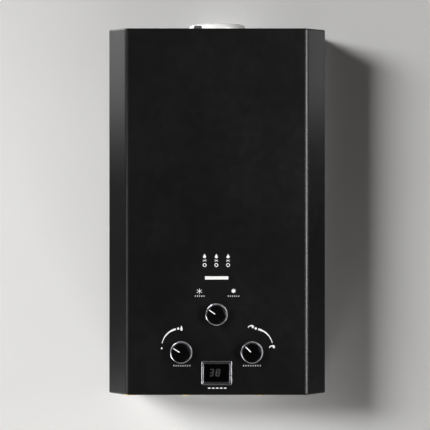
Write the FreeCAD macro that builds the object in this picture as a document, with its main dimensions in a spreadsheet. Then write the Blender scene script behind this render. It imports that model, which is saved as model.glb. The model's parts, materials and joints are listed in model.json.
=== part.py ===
import FreeCAD, Part
import math
import os
import re
import Sketcher
from FreeCAD import Placement, Rotation, Vector

# Tankless gas water heater, in millimetres.
# X points right, Y into the wall and Z up. The origin is the centre of the back plate's wall face.

DIMENSIONS = {
    # Case: one folded sheet with a wide flat front and a bevel each side
    "case_height": "550",
    "case_width": "327",
    "case_depth": "155",
    "front_width": "271",
    "bevel_depth": "27",
    "front_bend": "10",
    "side_bend": "3",
    "fold_bend": "2",
    "cover_sheet": "1",
    "wall_gap": "2",
    "bottom_rim": "8",
    # Back plate, a pan that carries everything, and the plate that closes the bottom
    "plate_sheet": "1.2",
    "plate_flange": "22",
    "sheet_gap": "0.5",
    "bottom_recess": "8",
    "bottom_lip": "16",
    "wall_hole_radius": "4.4",
    "wall_hole_spacing": "180",
    "wall_hole_margin": "22",
    "wall_hole_low": "125",
    "screw_radius": "2",
    "screw_gap": "0.2",
    "screw_head_radius": "3.8",
    "screw_head_height": "2.2",
    "screw_length": "7",
    "cover_screw_margin": "45",
    "cover_screw_depth": "11",
    "plate_screw_spacing": "100",
    "wall_clear": "0.2",
    "slot_width": "5",
    "slot_length": "22",
    "slot_pitch": "16",
    "slot_count": "12",
    "slot_front": "15",
    # Clip on the top edge of the cover
    "clip_width": "12",
    "clip_height": "6.4",
    "clip_sheet": "1.5",
    "clip_foot": "14",
    "clip_offset": "29",
    "clip_setback": "28",
    "clip_corner": "1.5",
    # Flue
    "flue_radius": "45",
    "flue_to_wall": "78",
    "flue_sheet": "0.8",
    "collar_rise": "11.5",
    "collar_depth": "43",
    "collar_roll": "8",
    "collar_lip": "8.5",
    "notch_gap": "8",
    "neck_gap": "0.1",
    "neck_height": "14",
    "hood_height": "92",
    "hood_sheet": "0.8",
    # Combustion chamber and finned exchanger
    "chamber_width": "222",
    "chamber_length": "106",
    "chamber_height": "170",
    "chamber_corner": "12",
    "chamber_sheet": "0.8",
    "fin_height": "48",
    "fin_sheet": "1.2",
    "fin_cells": "14",
    "fin_wall": "2",
    "tube_radius": "6",
    "tube_wall": "0.8",
    "tube_spacing": "34",
    "tube_gap": "0.1",
    "tube_overhang": "18",
    "tube_stub": "4",
    "coil_gap": "0.4",
    "coil_rise": "12",
    "coil_lift": "25",
    "coil_start_drop": "48",
    "riser_offset": "137",
    "cold_pipe_lift": "-0.85",
    "hot_step_high": "76",
    "hot_step_low": "41",
    "pipe_bend": "16",
    "bend_land": "1",
    "bracket_spacing": "140",
    "bracket_lift": "12",
    "bracket_foot": "14",
    "bracket_height": "24",
    # Burner
    "tray_height": "58",
    "tray_sheet": "1",
    "bar_count": "10",
    "bar_pitch": "21",
    "bar_width": "9",
    "bar_margin": "4",
    "bar_top_drop": "14",
    "bar_throat": "14",
    "mouth_radius": "6.5",
    "mouth_bore": "4.5",
    "port_width": "1.6",
    "port_count": "6",
    "port_depth": "5",
    "manifold_size": "16",
    "manifold_corner": "2",
    "manifold_lift": "8",
    "nozzle_radius": "2.6",
    "nozzle_bore": "0.9",
    "nozzle_length": "3.5",
    "nozzle_clearance": "0.4",
    "electrode_radius": "3",
    "electrode_out": "14",
    "electrode_in": "10",
    "electrode_wire": "0.9",
    "electrode_reach": "16",
    "electrode_drop": "8",
    "electrode_offset": "22",
    "electrode_gap": "0.1",
    # Gas valve, at the left, and the season valve under the burner
    "valve_to_wall": "80",
    "valve_axis_height": "64.3",
    "gas_valve_length": "60",
    "gas_valve_size": "50",
    "gas_knob_offset": "53",
    "gas_valve_inner_end": "26",
    "valve_corner": "5",
    "gas_bore": "17",
    "seat_wall": "16",
    "cap_flange": "3",
    "cap_plug": "6",
    "cap_gap": "0.1",
    "disc_radius": "13",
    "disc_thickness": "3",
    "disc_gap": "0.4",
    "solenoid_radius": "12",
    "solenoid_length": "24",
    "solenoid_edge": "2",
    "gas_pipe_offset": "60",
    "gas_pipe_bend": "14",
    "season_size": "34",
    "season_length": "36",
    "season_width": "44",
    "season_gap": "1",
    "boss_radius": "9",
    "boss_length": "14",
    "boss_floor": "1",
    "boss_bore_depth": "16",
    # Water valve, at the right, and the stem that links the two valves
    "water_knob_offset": "53",
    "housing_radius": "28",
    "housing_start": "29",
    "cover_length": "13",
    "body_length": "34",
    "housing_wall": "5",
    "diaphragm_sheet": "1",
    "diaphragm_inset": "2",
    "recess_radius": "22",
    "recess_depth": "9",
    "recess_floor": "2",
    "water_block_size": "48",
    "stem_radius": "3",
    "running_gap": "0.05",
    "plate_radius": "16",
    "plate_thickness": "2",
    "plate_gap": "0.4",
    "trip_radius": "7",
    "trip_thickness": "3",
    "trip_offset": "12",
    "port_radius": "10",
    "port_rise": "1",
    "relief_radius": "6",
    "relief_step": "2",
    "relief_length": "26",
    # Microswitch under the stem
    "switch_length": "20",
    "switch_width": "9",
    "switch_height": "12",
    "lug_size": "6",
    "lever_pin_radius": "1.2",
    "lever_width": "5",
    "lever_sheet": "1",
    "lever_gap": "0.4",
    "lever_arm": "16",
    "lever_overlap": "3",
    "lever_eye_radius": "2",
    "bracket_sheet": "1.2",
    "bracket_width": "12",
    "bracket_grip": "8",
    # Connectors through the bottom plate, G 1/2 thread size
    "connector_radius": "10.48",
    "connector_bore": "5.2",
    "connector_drop": "9",
    "thread_length": "15",
    "thread_chamfer": "1",
    "hexagon_radius": "13.5",
    "hexagon_height": "9",
    "connector_clearance": "0.5",
    "hot_offset": "135",
    "gas_offset": "48",
    "cold_offset": "65",
    # Sensors clipped on the hot pipe
    "clamp_wall": "2",
    "clamp_height": "12",
    "clamp_gap": "0.1",
    "probe_radius": "4",
    "probe_length": "14",
    "probe_lift": "17",
    "thermostat_drop": "32",
    "thermostat_radius": "9.5",
    "thermostat_length": "7",
    # Controls
    "knob_radius": "15",
    "knob_height": "15",
    "knob_taper": "0.8",
    "knob_face_rim": "1.6",
    "knob_face_dish": "0.5",
    "knob_wall": "4",
    "knob_edge": "0.8",
    "knob_gap": "0.8",
    "ring_radius": "16.5",
    "ring_height": "3.5",
    "ring_edge": "0.7",
    "ring_fit": "0.05",
    "pointer_width": "1.7",
    "pointer_start": "2.2",
    "pointer_depth": "0.4",
    "season_pointer": "144.7",
    "gas_pointer": "147.4",
    "water_pointer": "135",
    "spindle_radius": "4",
    "spindle_end_gap": "0.5",
    "panel_hole_gap": "2.5",
    # Display
    "display_width": "46",
    "display_height": "36",
    "display_lift": "33.5",
    "display_proud": "3",
    "display_corner": "2.5",
    "display_band": "5",
    "display_slope": "2",
    "display_edge": "0.8",
    "display_inset": "3",
    "display_cut_gap": "0.3",
    "window_sheet": "1.5",
    "window_gap": "0.1",
    "module_depth": "14",
    "module_inset": "1",
    "module_margin": "3",
    # Sight window
    "sight_width": "35",
    "sight_height": "5",
    "sight_lift": "175.7",
    "sight_lip": "3",
    "sight_sheet": "1.5",
    "sight_gap": "0.1",
    # Igniter, on the back plate
    "igniter_width": "62",
    "igniter_height": "44",
    "igniter_depth": "24",
    "igniter_margin": "51.5",
    "igniter_lift": "90",
    "igniter_corner": "4",
    "lead_radius": "1.6",
    "lead_bend": "9",
    "lead_reach": "3.25",
    "lead_swing": "30",
    "lead_rise": "15",
    "lead_port": "14",
    # Battery box, on the back plate, with its door under the case
    "cell_radius": "16.6",
    "cell_length": "59",
    "cell_nub_radius": "4.7",
    "cell_nub_length": "1.6",
    "cell_gap": "0.5",
    "cell_end_gap": "1.2",
    "box_wall": "1.5",
    "box_margin": "49",
    "box_clearance": "0.4",
    "box_drop": "1",
    "box_corner": "2",
    "cell_edge": "1",
    "door_sheet": "2",
    "door_gap": "0.3",
    "door_grip": "16",
    "door_overlap": "0.6",
    "hinge_radius": "2",
    "hinge_pin_radius": "1",
    "hinge_length": "44",
    "hinge_lug": "4",
    "hinge_gap": "0.4",
    "lug_root": "1",
    "leaf_gap": "1.5",
    "hinge_setback": "3.8",
}

COIL_CORNERS = 8
NEAR = 0.01
LEAST_CUT = 0.001
TUBE_TOLERANCE = 0.002

doc = FreeCAD.newDocument("GasWaterHeater")
sheet = doc.addObject("Spreadsheet::Sheet", "Sizes")
for row, (alias, value) in enumerate(DIMENSIONS.items(), start=1):
    sheet.set(f"A{row}", alias.replace("_", " "))
    sheet.set(f"B{row}", value)
    sheet.setAlias(f"B{row}", alias)
doc.recompute()

pieces = []


def size(text):
    """Number that an expression of aliases gives."""
    return float(sheet.evalExpression(text))


def bound(text):
    """The expression with each alias written as a cell of the sheet."""
    return re.sub(r"[a-z]\w*", lambda word: "Sizes." + word[0] if word[0] in DIMENSIONS else word[0], text)


def place(piece, x, y, z):
    """Tie a piece's position to three expressions."""
    for axis, text in zip("xyz", (x, y, z)):
        piece.setExpression(f"Placement.Base.{axis}", bound(text))


def new_body(label, x="0", y="0", z="0"):
    """Empty body for one node, at its place."""
    body = doc.addObject("PartDesign::Body", label)
    body.Label = label
    place(body, x, y, z)
    pieces.append(body)
    return body


def origin_feature(body, role):
    """Plane or axis of a body's own origin."""
    return next(item for item in body.Origin.OriginFeatures if item.Role == role)


# A top sketch has (X, Y) and rises along +Z, a front sketch has (X, Z) and comes out along -Y,
# and a side sketch has (Y, Z) and goes along +X.
PLANES = {"top": "XY_Plane", "front": "XZ_Plane", "side": "YZ_Plane"}


def new_sketch(body, plane, level="0"):
    """Empty sketch on one of the body's planes, moved along its normal by level."""
    sketch = body.newObject("Sketcher::SketchObject", "Sketch")
    sketch.AttachmentSupport = [(origin_feature(body, PLANES[plane]), "")]
    sketch.MapMode = "FlatFace"
    sketch.setExpression("AttachmentOffset.Base.z", bound(level))
    return sketch


def tie_point(sketch, geometry, vertex, x, y):
    """Fix one point of a sketch by two expressions."""
    for kind, text in (("DistanceX", x), ("DistanceY", y)):
        index = sketch.addConstraint(Sketcher.Constraint(kind, -1, 1, geometry, vertex, size(text)))
        sketch.setExpression(f"Constraints[{index}]", bound(text))


def add_outline(sketch, corners):
    """Closed line of straight edges through corners given as expressions."""
    first = sketch.GeometryCount
    places = [Vector(size(x), size(y), 0) for x, y in corners]
    for start, end in zip(places, places[1:] + places[:1]):
        sketch.addGeometry(Part.LineSegment(start, end))
    for number, (x, y) in enumerate(corners):
        following = first + (number + 1) % len(corners)
        sketch.addConstraint(Sketcher.Constraint("Coincident", first + number, 2, following, 1))
        tie_point(sketch, first + number, 1, x, y)


def add_rectangle(sketch, left, right, low, high):
    """Rectangle between four expressions."""
    add_outline(sketch, [(left, low), (right, low), (right, high), (left, high)])


def add_circle(sketch, x, y, radius):
    """Circle about a point given as expressions."""
    index = sketch.addGeometry(Part.Circle(Vector(size(x), size(y), 0), Vector(0, 0, 1), size(radius)))
    tie_point(sketch, index, 3, x, y)
    constraint = sketch.addConstraint(Sketcher.Constraint("Radius", index, size(radius)))
    sketch.setExpression(f"Constraints[{constraint}]", bound(radius))


def pad(body, sketch, length, both_ways=False, backwards=False):
    """Solid grown from a sketch."""
    solid = body.newObject("PartDesign::Pad", "Pad")
    solid.Profile = sketch
    solid.setExpression("Length", bound(length))
    solid.SideType = "Symmetric" if both_ways else "One side"
    solid.Reversed = backwards
    doc.recompute()
    return solid


def pocket(body, sketch, depth, both_ways=False, backwards=False):
    """Hole of a sketch's outline, against the sketch's own direction unless it is backwards."""
    before = body.Shape.Volume
    hole = body.newObject("PartDesign::Pocket", "Pocket")
    hole.Profile = sketch
    hole.setExpression("Length", bound(depth))
    hole.SideType = "Symmetric" if both_ways else "One side"
    hole.Reversed = backwards
    doc.recompute()
    if body.Shape.Volume > before - LEAST_CUT:
        raise ValueError(f"{body.Label}: a pocket cut nothing")
    return hole


def revolve(body, sketch, axis):
    """Solid turned about an axis of its sketch."""
    solid = body.newObject("PartDesign::Revolution", "Revolution")
    solid.Profile = sketch
    solid.ReferenceAxis = (sketch, [axis])
    solid.Angle = 360
    doc.recompute()
    return solid


def dress(body, kind, size_name, text, chosen):
    """Fillet or chamfer on the edges that a test chooses."""
    base = body.Tip
    names = [f"Edge{number}" for number, edge in enumerate(base.Shape.Edges, start=1) if chosen(edge)]
    blend = body.newObject(f"PartDesign::{kind}", kind)
    blend.Base = (base, names)
    blend.setExpression(size_name, bound(text))
    doc.recompute()
    return blend


def fillet(body, radius, chosen):
    """Round the chosen edges."""
    return dress(body, "Fillet", "Radius", radius, chosen)


def chamfer(body, width, chosen):
    """Bevel the chosen edges."""
    return dress(body, "Chamfer", "Size", width, chosen)


def hollow(body, wall, open_faces):
    """Shell a solid inwards and leave out the faces that a test chooses."""
    base = body.Tip
    names = [f"Face{number}" for number, face in enumerate(base.Shape.Faces, start=1) if open_faces(face)]
    shell = body.newObject("PartDesign::Thickness", "Shell")
    shell.Base = (base, names)
    shell.setExpression("Value", bound(wall))
    shell.Reversed = True
    doc.recompute()
    return shell


def row_of(body, features, axis, count, span):
    """Repeat features along an axis, count times over a span."""
    pattern = body.newObject("PartDesign::LinearPattern", "Row")
    if features:
        pattern.Originals = features
    else:
        pattern.TransformMode = "Whole shape"
    pattern.Direction = (origin_feature(body, axis), [""])
    pattern.setExpression("Length", bound(span))
    pattern.setExpression("Occurrences", bound(count))
    body.Tip = pattern
    doc.recompute()
    return pattern


def points_of(shape):
    """Ends and middles of a shape's edges."""
    found = []
    for edge in shape.Edges or [shape]:
        first, last = edge.ParameterRange
        found += [edge.valueAt(first), edge.valueAt((first + last) / 2), edge.valueAt(last)]
    return found


def lies_at(shape, **levels):
    """True where every point of a shape has the stated coordinates, given as expressions."""
    places = points_of(shape)
    return all(
        abs(getattr(point, axis) - size(text)) < NEAR for axis, text in levels.items() for point in places
    )


def runs_along(edge, axis):
    """True for a straight edge that is parallel to an axis."""
    if not isinstance(edge.Curve, (Part.Line, Part.LineSegment)):
        return False
    direction = edge.valueAt(edge.LastParameter) - edge.valueAt(edge.FirstParameter)
    return abs(abs(getattr(direction.normalize(), axis)) - 1) < NEAR


def is_face_at(face, **levels):
    """True for a flat face that lies at the stated coordinates."""
    return isinstance(face.Surface, Part.Plane) and lies_at(face, **levels)


def is_circle(edge, radius, **levels):
    """True for a circle of the stated radius at the stated coordinates."""
    if not isinstance(edge.Curve, Part.Circle):
        return False
    return abs(edge.Curve.Radius - size(radius)) < NEAR and lies_at(edge, **levels)


def turned(label, direction, profile, x="0", y="0", z="0"):
    """Body turned about a line along x, y or z from (distance along the line, radius) pairs."""
    body = new_body(label, x, y, z)
    sketch = new_sketch(body, "side" if direction == "y" else "front")
    if direction == "z":
        add_outline(sketch, [(radius, along) for along, radius in profile])
        revolve(body, sketch, "V_Axis")
    else:
        add_outline(sketch, profile)
        revolve(body, sketch, "H_Axis")
    return body


def bent_path(points, bend_radius):
    """Straight runs through the points, joined by tangent arcs."""
    edges = []
    start = points[0]
    for corner, following in zip(points[1:-1], points[2:]):
        arriving = (corner - start).normalize()
        leaving = (following - corner).normalize()
        turn = arriving.getAngle(leaving)
        reach = bend_radius * math.tan(turn / 2)
        first = corner - arriving * reach
        last = corner + leaving * reach
        inward = (leaving - arriving).normalize()
        middle = corner + inward * (bend_radius / math.cos(turn / 2) - bend_radius)
        edges.append(Part.LineSegment(start, first).toShape())
        edges.append(Part.Arc(first, middle, last).toShape())
        start = last
    edges.append(Part.LineSegment(start, points[-1]).toShape())
    return Part.Wire(edges)


def round_sweep(path, radius):
    """Round bar along a path."""
    start = path.Edges[0]
    circle = Part.Circle(start.valueAt(start.FirstParameter), start.tangentAt(start.FirstParameter), radius)
    return path.makePipeShell([Part.Wire(circle.toShape())], True, False)


def point(x, y, z):
    """Point given as three expressions."""
    return Vector(size(x), size(y), size(z))


def bent_tube(label, points, bend, radius, wall=None):
    """Tube, or solid bar where it has no wall, along bent runs."""
    path = bent_path(points, size(bend))
    shape = round_sweep(path, size(radius))
    section = math.pi * size(radius) ** 2
    if abs(shape.Volume / (section * path.Length) - 1) > TUBE_TOLERANCE:
        raise ValueError(f"{label}: the volume isn't the section times the length")
    if wall:
        shape = shape.cut(round_sweep(path, size(f"{radius} - {wall}")))
    piece = doc.addObject("Part::Feature", label)
    piece.Label = label
    piece.Shape = shape
    pieces.append(piece)
    return piece


# Levels that several pieces share
TOP = "(case_height / 2)"
BOTTOM = "(-case_height / 2)"
FLUE_Y = "(-flue_to_wall)"
COLLAR_LOW = f"({TOP} - collar_depth)"
HOOD_LOW = f"({COLLAR_LOW} - hood_height)"
FIN_LOW = f"({HOOD_LOW} - fin_height)"
CHAMBER_LOW = f"({FIN_LOW} - chamber_height)"
TRAY_LOW = f"({CHAMBER_LOW} - tray_height)"
MANIFOLD_Z = f"({TRAY_LOW} + manifold_lift)"
SEASON_Z = f"({TRAY_LOW} - season_gap - season_size / 2)"
VALVE_Z = f"({BOTTOM} + valve_axis_height)"
VALVE_Y = "(-valve_to_wall)"
PLATE_LOW = f"({BOTTOM} + bottom_recess)"
PLATE_TOP = f"({PLATE_LOW} + plate_sheet)"
PANEL_BACK = "(cover_sheet - case_depth)"
TRAY_FRONT = f"({FLUE_Y} - chamber_length / 2)"
MANIFOLD_Y = f"({TRAY_FRONT} - manifold_size / 2)"
WALL_HOLES_HIGH = f"({TOP} - wall_hole_margin)"
WALL_HOLES_LOW = f"({BOTTOM} + wall_hole_low)"
LIP_SCREW_Z = f"({PLATE_TOP} + bottom_lip / 2)"
COVER_SCREW_LEVELS = (f"({TOP} - cover_screw_margin)", f"({BOTTOM} + cover_screw_margin)")
NECK_RADIUS = "(flue_radius - flue_sheet - neck_gap)"
FIN_MIDDLE = f"({FIN_LOW} + fin_height / 2)"
BAR_SPAN = "((bar_count - 1) * bar_pitch)"
FIRST_BAR_X = f"(-{BAR_SPAN} / 2)"
ELECTRODE_Z = f"({CHAMBER_LOW} - electrode_drop)"
CONNECTOR_TOP = f"({PLATE_TOP} + hexagon_height)"
GAS_LEFT = "(-gas_valve_inner_end - gas_valve_length)"
PORT_REACH = "(housing_radius + port_rise)"
COIL_START = f"({CHAMBER_LOW} - coil_start_drop)"
COLD_PIPE_Z = f"(({VALVE_Z} + {PORT_REACH} + {COIL_START}) / 2 + cold_pipe_lift)"
SPINDLE_BOSS_FRONT = "(gas_valve_size / 2 + boss_length)"
DISPLAY_Z = f"({BOTTOM} + display_lift)"
SIGHT_Z = f"({BOTTOM} + sight_lift)"
IGNITER_X = "(igniter_margin - case_width / 2)"
IGNITER_Z = f"({BOTTOM} + igniter_lift)"
BOX_X = "(case_width / 2 - box_margin)"
CELL_SPACE = "(cell_length + cell_nub_length + 2 * cell_end_gap)"
BOX_WIDTH = "(4 * cell_radius + 3 * cell_gap + 2 * box_wall)"
BOX_DEPTH = "(2 * cell_radius + 2 * cell_gap + 2 * box_wall)"
BOX_REAR = "(-2 * plate_sheet)"
BOX_RIM = f"({PLATE_LOW} - box_drop)"
HINGE_DROP = "(door_gap + door_sheet / 2)"
KNOB_PLACES = {
    "season": ("0", SEASON_Z),
    "gas": ("-gas_knob_offset", VALVE_Z),
    "water": ("water_knob_offset", VALVE_Z),
}
BEVEL_RUN = "((case_width - front_width) / 2)"
BEVEL_SLOPE = f"sqrt({BEVEL_RUN} * {BEVEL_RUN} + bevel_depth * bevel_depth)"


def case_outline(inset, back):
    """Plan outline of the case moved inwards, with its open side at the stated Y."""
    side = f"(case_width / 2 - {inset})"
    side_corner = f"(bevel_depth - case_depth + {inset} * ({BEVEL_SLOPE} - bevel_depth) / {BEVEL_RUN})"
    front_corner = f"(front_width / 2 - {inset} * ({BEVEL_SLOPE} - {BEVEL_RUN}) / bevel_depth)"
    front = f"({inset} - case_depth)"
    right = [(side, back), (side, side_corner), (front_corner, front)]
    left = [(f"-{x}", y) for x, y in reversed(right)]
    return right + left


def make_front_cover():
    """Folded cover, open to the wall, with its cut-outs."""
    body = new_body("front_cover")
    plan = new_sketch(body, "top")
    add_outline(plan, case_outline("0", "-wall_gap"))
    pad(body, plan, "case_height", both_ways=True)
    front_line = {"y": "-case_depth"}
    side_line = {"y": "bevel_depth - case_depth"}
    fillet(body, "front_bend", lambda edge: runs_along(edge, "z") and lies_at(edge, **front_line))
    fillet(body, "side_bend", lambda edge: runs_along(edge, "z") and lies_at(edge, **side_line))
    fillet(
        body,
        "fold_bend",
        lambda edge: (lies_at(edge, z=TOP) or lies_at(edge, z=BOTTOM)) and not lies_at(edge, y="-wall_gap"),
    )
    hollow(body, "cover_sheet", lambda face: is_face_at(face, y="-wall_gap"))

    floor = new_sketch(body, "top", BOTTOM)
    add_outline(floor, case_outline("bottom_rim", "0"))
    pocket(body, floor, "2 * cover_sheet", both_ways=True)

    round_notch = new_sketch(body, "top", TOP)
    add_circle(round_notch, "0", FLUE_Y, "flue_radius + notch_gap")
    pocket(body, round_notch, "4 * cover_sheet", both_ways=True)
    open_notch = new_sketch(body, "top", TOP)
    add_rectangle(open_notch, "-flue_radius - notch_gap", "flue_radius + notch_gap", FLUE_Y, "0")
    pocket(body, open_notch, "4 * cover_sheet", both_ways=True)

    holes = new_sketch(body, "front", "case_depth")
    for x, z in KNOB_PLACES.values():
        add_circle(holes, x, z, "spindle_radius + panel_hole_gap")
    add_rectangle(
        holes,
        "-display_width / 2 + display_inset",
        "display_width / 2 - display_inset",
        f"{DISPLAY_Z} - display_height / 2 + display_inset",
        f"{DISPLAY_Z} + display_height / 2 - display_inset",
    )
    sight_low = f"({SIGHT_Z} - sight_height / 2)"
    add_rectangle(holes, "-sight_width / 2", "sight_width / 2", sight_low, f"{sight_low} + sight_height")
    pocket(body, holes, "2 * cover_sheet")

    screws = new_sketch(body, "side")
    for z in COVER_SCREW_LEVELS:
        add_circle(screws, "-cover_screw_depth", z, "screw_radius + screw_gap")
    pocket(body, screws, "case_width", both_ways=True)
    return body


def make_back_plate():
    """Pan behind the cover, open to the front and below, with the wall holes."""
    body = new_body("back_plate")
    side = "(case_width / 2 - cover_sheet - sheet_gap)"
    top = f"({TOP} - cover_sheet - sheet_gap)"
    face = new_sketch(body, "front")
    add_rectangle(face, f"-{side}", side, PLATE_LOW, top)
    pad(body, face, "plate_flange")
    hollow(
        body,
        "plate_sheet",
        lambda wall: is_face_at(wall, y="-plate_flange") or is_face_at(wall, z=PLATE_LOW),
    )
    holes = new_sketch(body, "front")
    for z in (WALL_HOLES_HIGH, WALL_HOLES_LOW):
        add_circle(holes, "-wall_hole_spacing / 2", z, "wall_hole_radius")
        add_circle(holes, "wall_hole_spacing / 2", z, "wall_hole_radius")
    for side_sign in ("-", ""):
        add_circle(holes, f"{side_sign}plate_screw_spacing / 2", LIP_SCREW_Z, "screw_radius + screw_gap")
    pocket(body, holes, "2 * plate_sheet", both_ways=True)
    screws = new_sketch(body, "side")
    for z in COVER_SCREW_LEVELS:
        add_circle(screws, "-cover_screw_depth", z, "screw_radius + screw_gap")
    pocket(body, screws, "case_width", both_ways=True)
    return body


def make_bottom_plate():
    """Plate with air slots, ways out for the pipes and the battery box, and a lip on the back plate."""
    body = new_body("bottom_plate")
    plan = new_sketch(body, "top", PLATE_LOW)
    add_outline(plan, case_outline("(cover_sheet + 2 * sheet_gap + plate_sheet)", "-plate_sheet"))
    pad(body, plan, "plate_sheet")
    lip = new_sketch(body, "top", PLATE_TOP)
    lip_side = "(case_width / 2 - cover_sheet - 2 * sheet_gap - plate_sheet)"
    add_rectangle(lip, f"-{lip_side}", lip_side, "-2 * plate_sheet", "-plate_sheet")
    pad(body, lip, "bottom_lip")
    holes = new_sketch(body, "top", PLATE_LOW)
    for x in ("-hot_offset", "-gas_offset", "cold_offset"):
        add_circle(holes, x, VALVE_Y, "connector_radius + connector_clearance")
    add_rectangle(
        holes,
        f"{BOX_X} - {BOX_WIDTH} / 2 - box_clearance",
        f"{BOX_X} + {BOX_WIDTH} / 2 + box_clearance",
        f"{BOX_REAR} - {BOX_DEPTH} - box_clearance",
        BOX_REAR,
    )
    pocket(body, holes, "3 * plate_sheet", both_ways=True)
    lip_holes = new_sketch(body, "front")
    for side_sign in ("-", ""):
        add_circle(lip_holes, f"{side_sign}plate_screw_spacing / 2", LIP_SCREW_Z, "screw_radius + screw_gap")
    pocket(body, lip_holes, "6 * plate_sheet", both_ways=True)
    slot = new_sketch(body, "top", PLATE_LOW)
    left = "(-((slot_count - 1) * slot_pitch + slot_width) / 2)"
    slot_low = "(slot_front - case_depth)"
    add_rectangle(slot, left, f"{left} + slot_width", slot_low, f"{slot_low} + slot_length")
    cut = pocket(body, slot, "3 * plate_sheet", both_ways=True)
    row_of(body, [cut], "X_Axis", "slot_count", "(slot_count - 1) * slot_pitch")
    return body


def make_cover_screws():
    """Two pan-head screws in each side of the cover."""
    body = new_body("cover_screws", y="-cover_screw_depth", z=COVER_SCREW_LEVELS[1])
    sketch = new_sketch(body, "front")
    for side_sign in ("", "-"):
        seat = f"{side_sign}(case_width / 2"
        add_outline(
            sketch,
            [
                (f"{seat} - screw_length)", "0"),
                (f"{seat} - screw_length)", "screw_radius"),
                (f"{seat})", "screw_radius"),
                (f"{seat})", "screw_head_radius"),
                (f"{seat} + screw_head_height / 2)", "screw_head_radius"),
                (f"{seat} + screw_head_height)", "screw_radius"),
                (f"{seat} + screw_head_height)", "0"),
            ],
        )
    revolve(body, sketch, "H_Axis")
    row_of(body, [], "Z_Axis", "2", f"{COVER_SCREW_LEVELS[0]} - {COVER_SCREW_LEVELS[1]}")
    return body


def make_plate_screws():
    """Two pan-head screws through the bottom plate's lip."""
    seat = "-2 * plate_sheet"
    body = turned(
        "plate_screws",
        "y",
        [
            ("-wall_clear", "0"),
            ("-wall_clear", "screw_radius"),
            (seat, "screw_radius"),
            (seat, "screw_head_radius"),
            (f"{seat} - screw_head_height / 2", "screw_head_radius"),
            (f"{seat} - screw_head_height", "screw_radius"),
            (f"{seat} - screw_head_height", "0"),
        ],
        x="-plate_screw_spacing / 2",
        z=LIP_SCREW_Z,
    )
    row_of(body, [], "X_Axis", "2", "plate_screw_spacing")
    return body


def make_cover_clip():
    """Bent sheet clip that stands on the cover's top edge."""
    body = new_body("cover_clip", x="-clip_offset")
    section = new_sketch(body, "side")
    rear = "(clip_setback - case_depth)"
    add_outline(
        section,
        [
            (f"{rear} - clip_foot", TOP),
            (rear, TOP),
            (rear, f"{TOP} + clip_height"),
            (f"{rear} - clip_sheet", f"{TOP} + clip_height"),
            (f"{rear} - clip_sheet", f"{TOP} + clip_sheet"),
            (f"{rear} - clip_foot", f"{TOP} + clip_sheet"),
        ],
    )
    pad(body, section, "clip_width", both_ways=True)
    fillet(
        body,
        "clip_corner",
        lambda edge: runs_along(edge, "y") and lies_at(edge, z=f"{TOP} + clip_height"),
    )
    return body


def make_flue_collar():
    """Thin spigot with its mouth rolled inwards."""
    mouth = f"({TOP} + collar_rise)"
    inner_radius = "(flue_radius - flue_sheet)"
    body = turned(
        "flue_collar",
        "z",
        [
            (COLLAR_LOW, inner_radius),
            (COLLAR_LOW, "flue_radius"),
            (mouth, "flue_radius"),
            (mouth, "flue_radius - collar_lip"),
            (f"{mouth} - flue_sheet", "flue_radius - collar_lip"),
            (f"{mouth} - flue_sheet", inner_radius),
        ],
        y=FLUE_Y,
    )
    fillet(body, "collar_roll", lambda edge: is_circle(edge, "flue_radius", z=mouth))
    fillet(
        body,
        "collar_roll - flue_sheet",
        lambda edge: is_circle(edge, inner_radius, z=f"{mouth} - flue_sheet"),
    )
    return body


def hood_section(body, level, inset, is_round):
    """Section of the hood, a circle at its neck and a rectangle at its foot."""
    sketch = new_sketch(body, "top", level)
    if is_round:
        add_circle(sketch, "0", "0", f"{NECK_RADIUS} - {inset}")
    else:
        half_width = f"(chamber_width / 2 - {inset})"
        half_length = f"(chamber_length / 2 - {inset})"
        add_rectangle(sketch, f"-{half_width}", half_width, f"-{half_length}", half_length)
    return sketch


def make_draft_hood():
    """Sheet hood lofted from the exchanger's rectangle to the round neck inside the collar."""
    body = new_body("draft_hood", y=FLUE_Y)
    outside = body.newObject("PartDesign::AdditiveLoft", "Outside")
    outside.Profile = hood_section(body, HOOD_LOW, "0", False)
    outside.Sections = [hood_section(body, COLLAR_LOW, "0", True)]
    doc.recompute()
    pad(body, hood_section(body, COLLAR_LOW, "0", True), "neck_height")
    inside = body.newObject("PartDesign::SubtractiveLoft", "Inside")
    inside.Profile = hood_section(body, HOOD_LOW, "hood_sheet", False)
    inside.Sections = [hood_section(body, COLLAR_LOW, "hood_sheet", True)]
    doc.recompute()
    pocket(body, hood_section(body, COLLAR_LOW, "hood_sheet", True), "neck_height", backwards=True)
    return body


def chamber_block(label, low, height):
    """Body that starts as a block with the plan of the combustion chamber."""
    body = new_body(label, y=FLUE_Y)
    plan = new_sketch(body, "top", low)
    side = "chamber_width / 2"
    front = "chamber_length / 2"
    add_rectangle(plan, f"-{side}", side, f"-{front}", front)
    pad(body, plan, height)
    return body


def make_combustion_chamber():
    """Copper jacket between the burner and the fins."""
    body = chamber_block("combustion_chamber", CHAMBER_LOW, "chamber_height")
    fillet(body, "chamber_corner", lambda edge: runs_along(edge, "z"))
    hollow(body, "chamber_sheet", lambda face: is_face_at(face, z=CHAMBER_LOW) or is_face_at(face, z=FIN_LOW))
    return body


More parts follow.
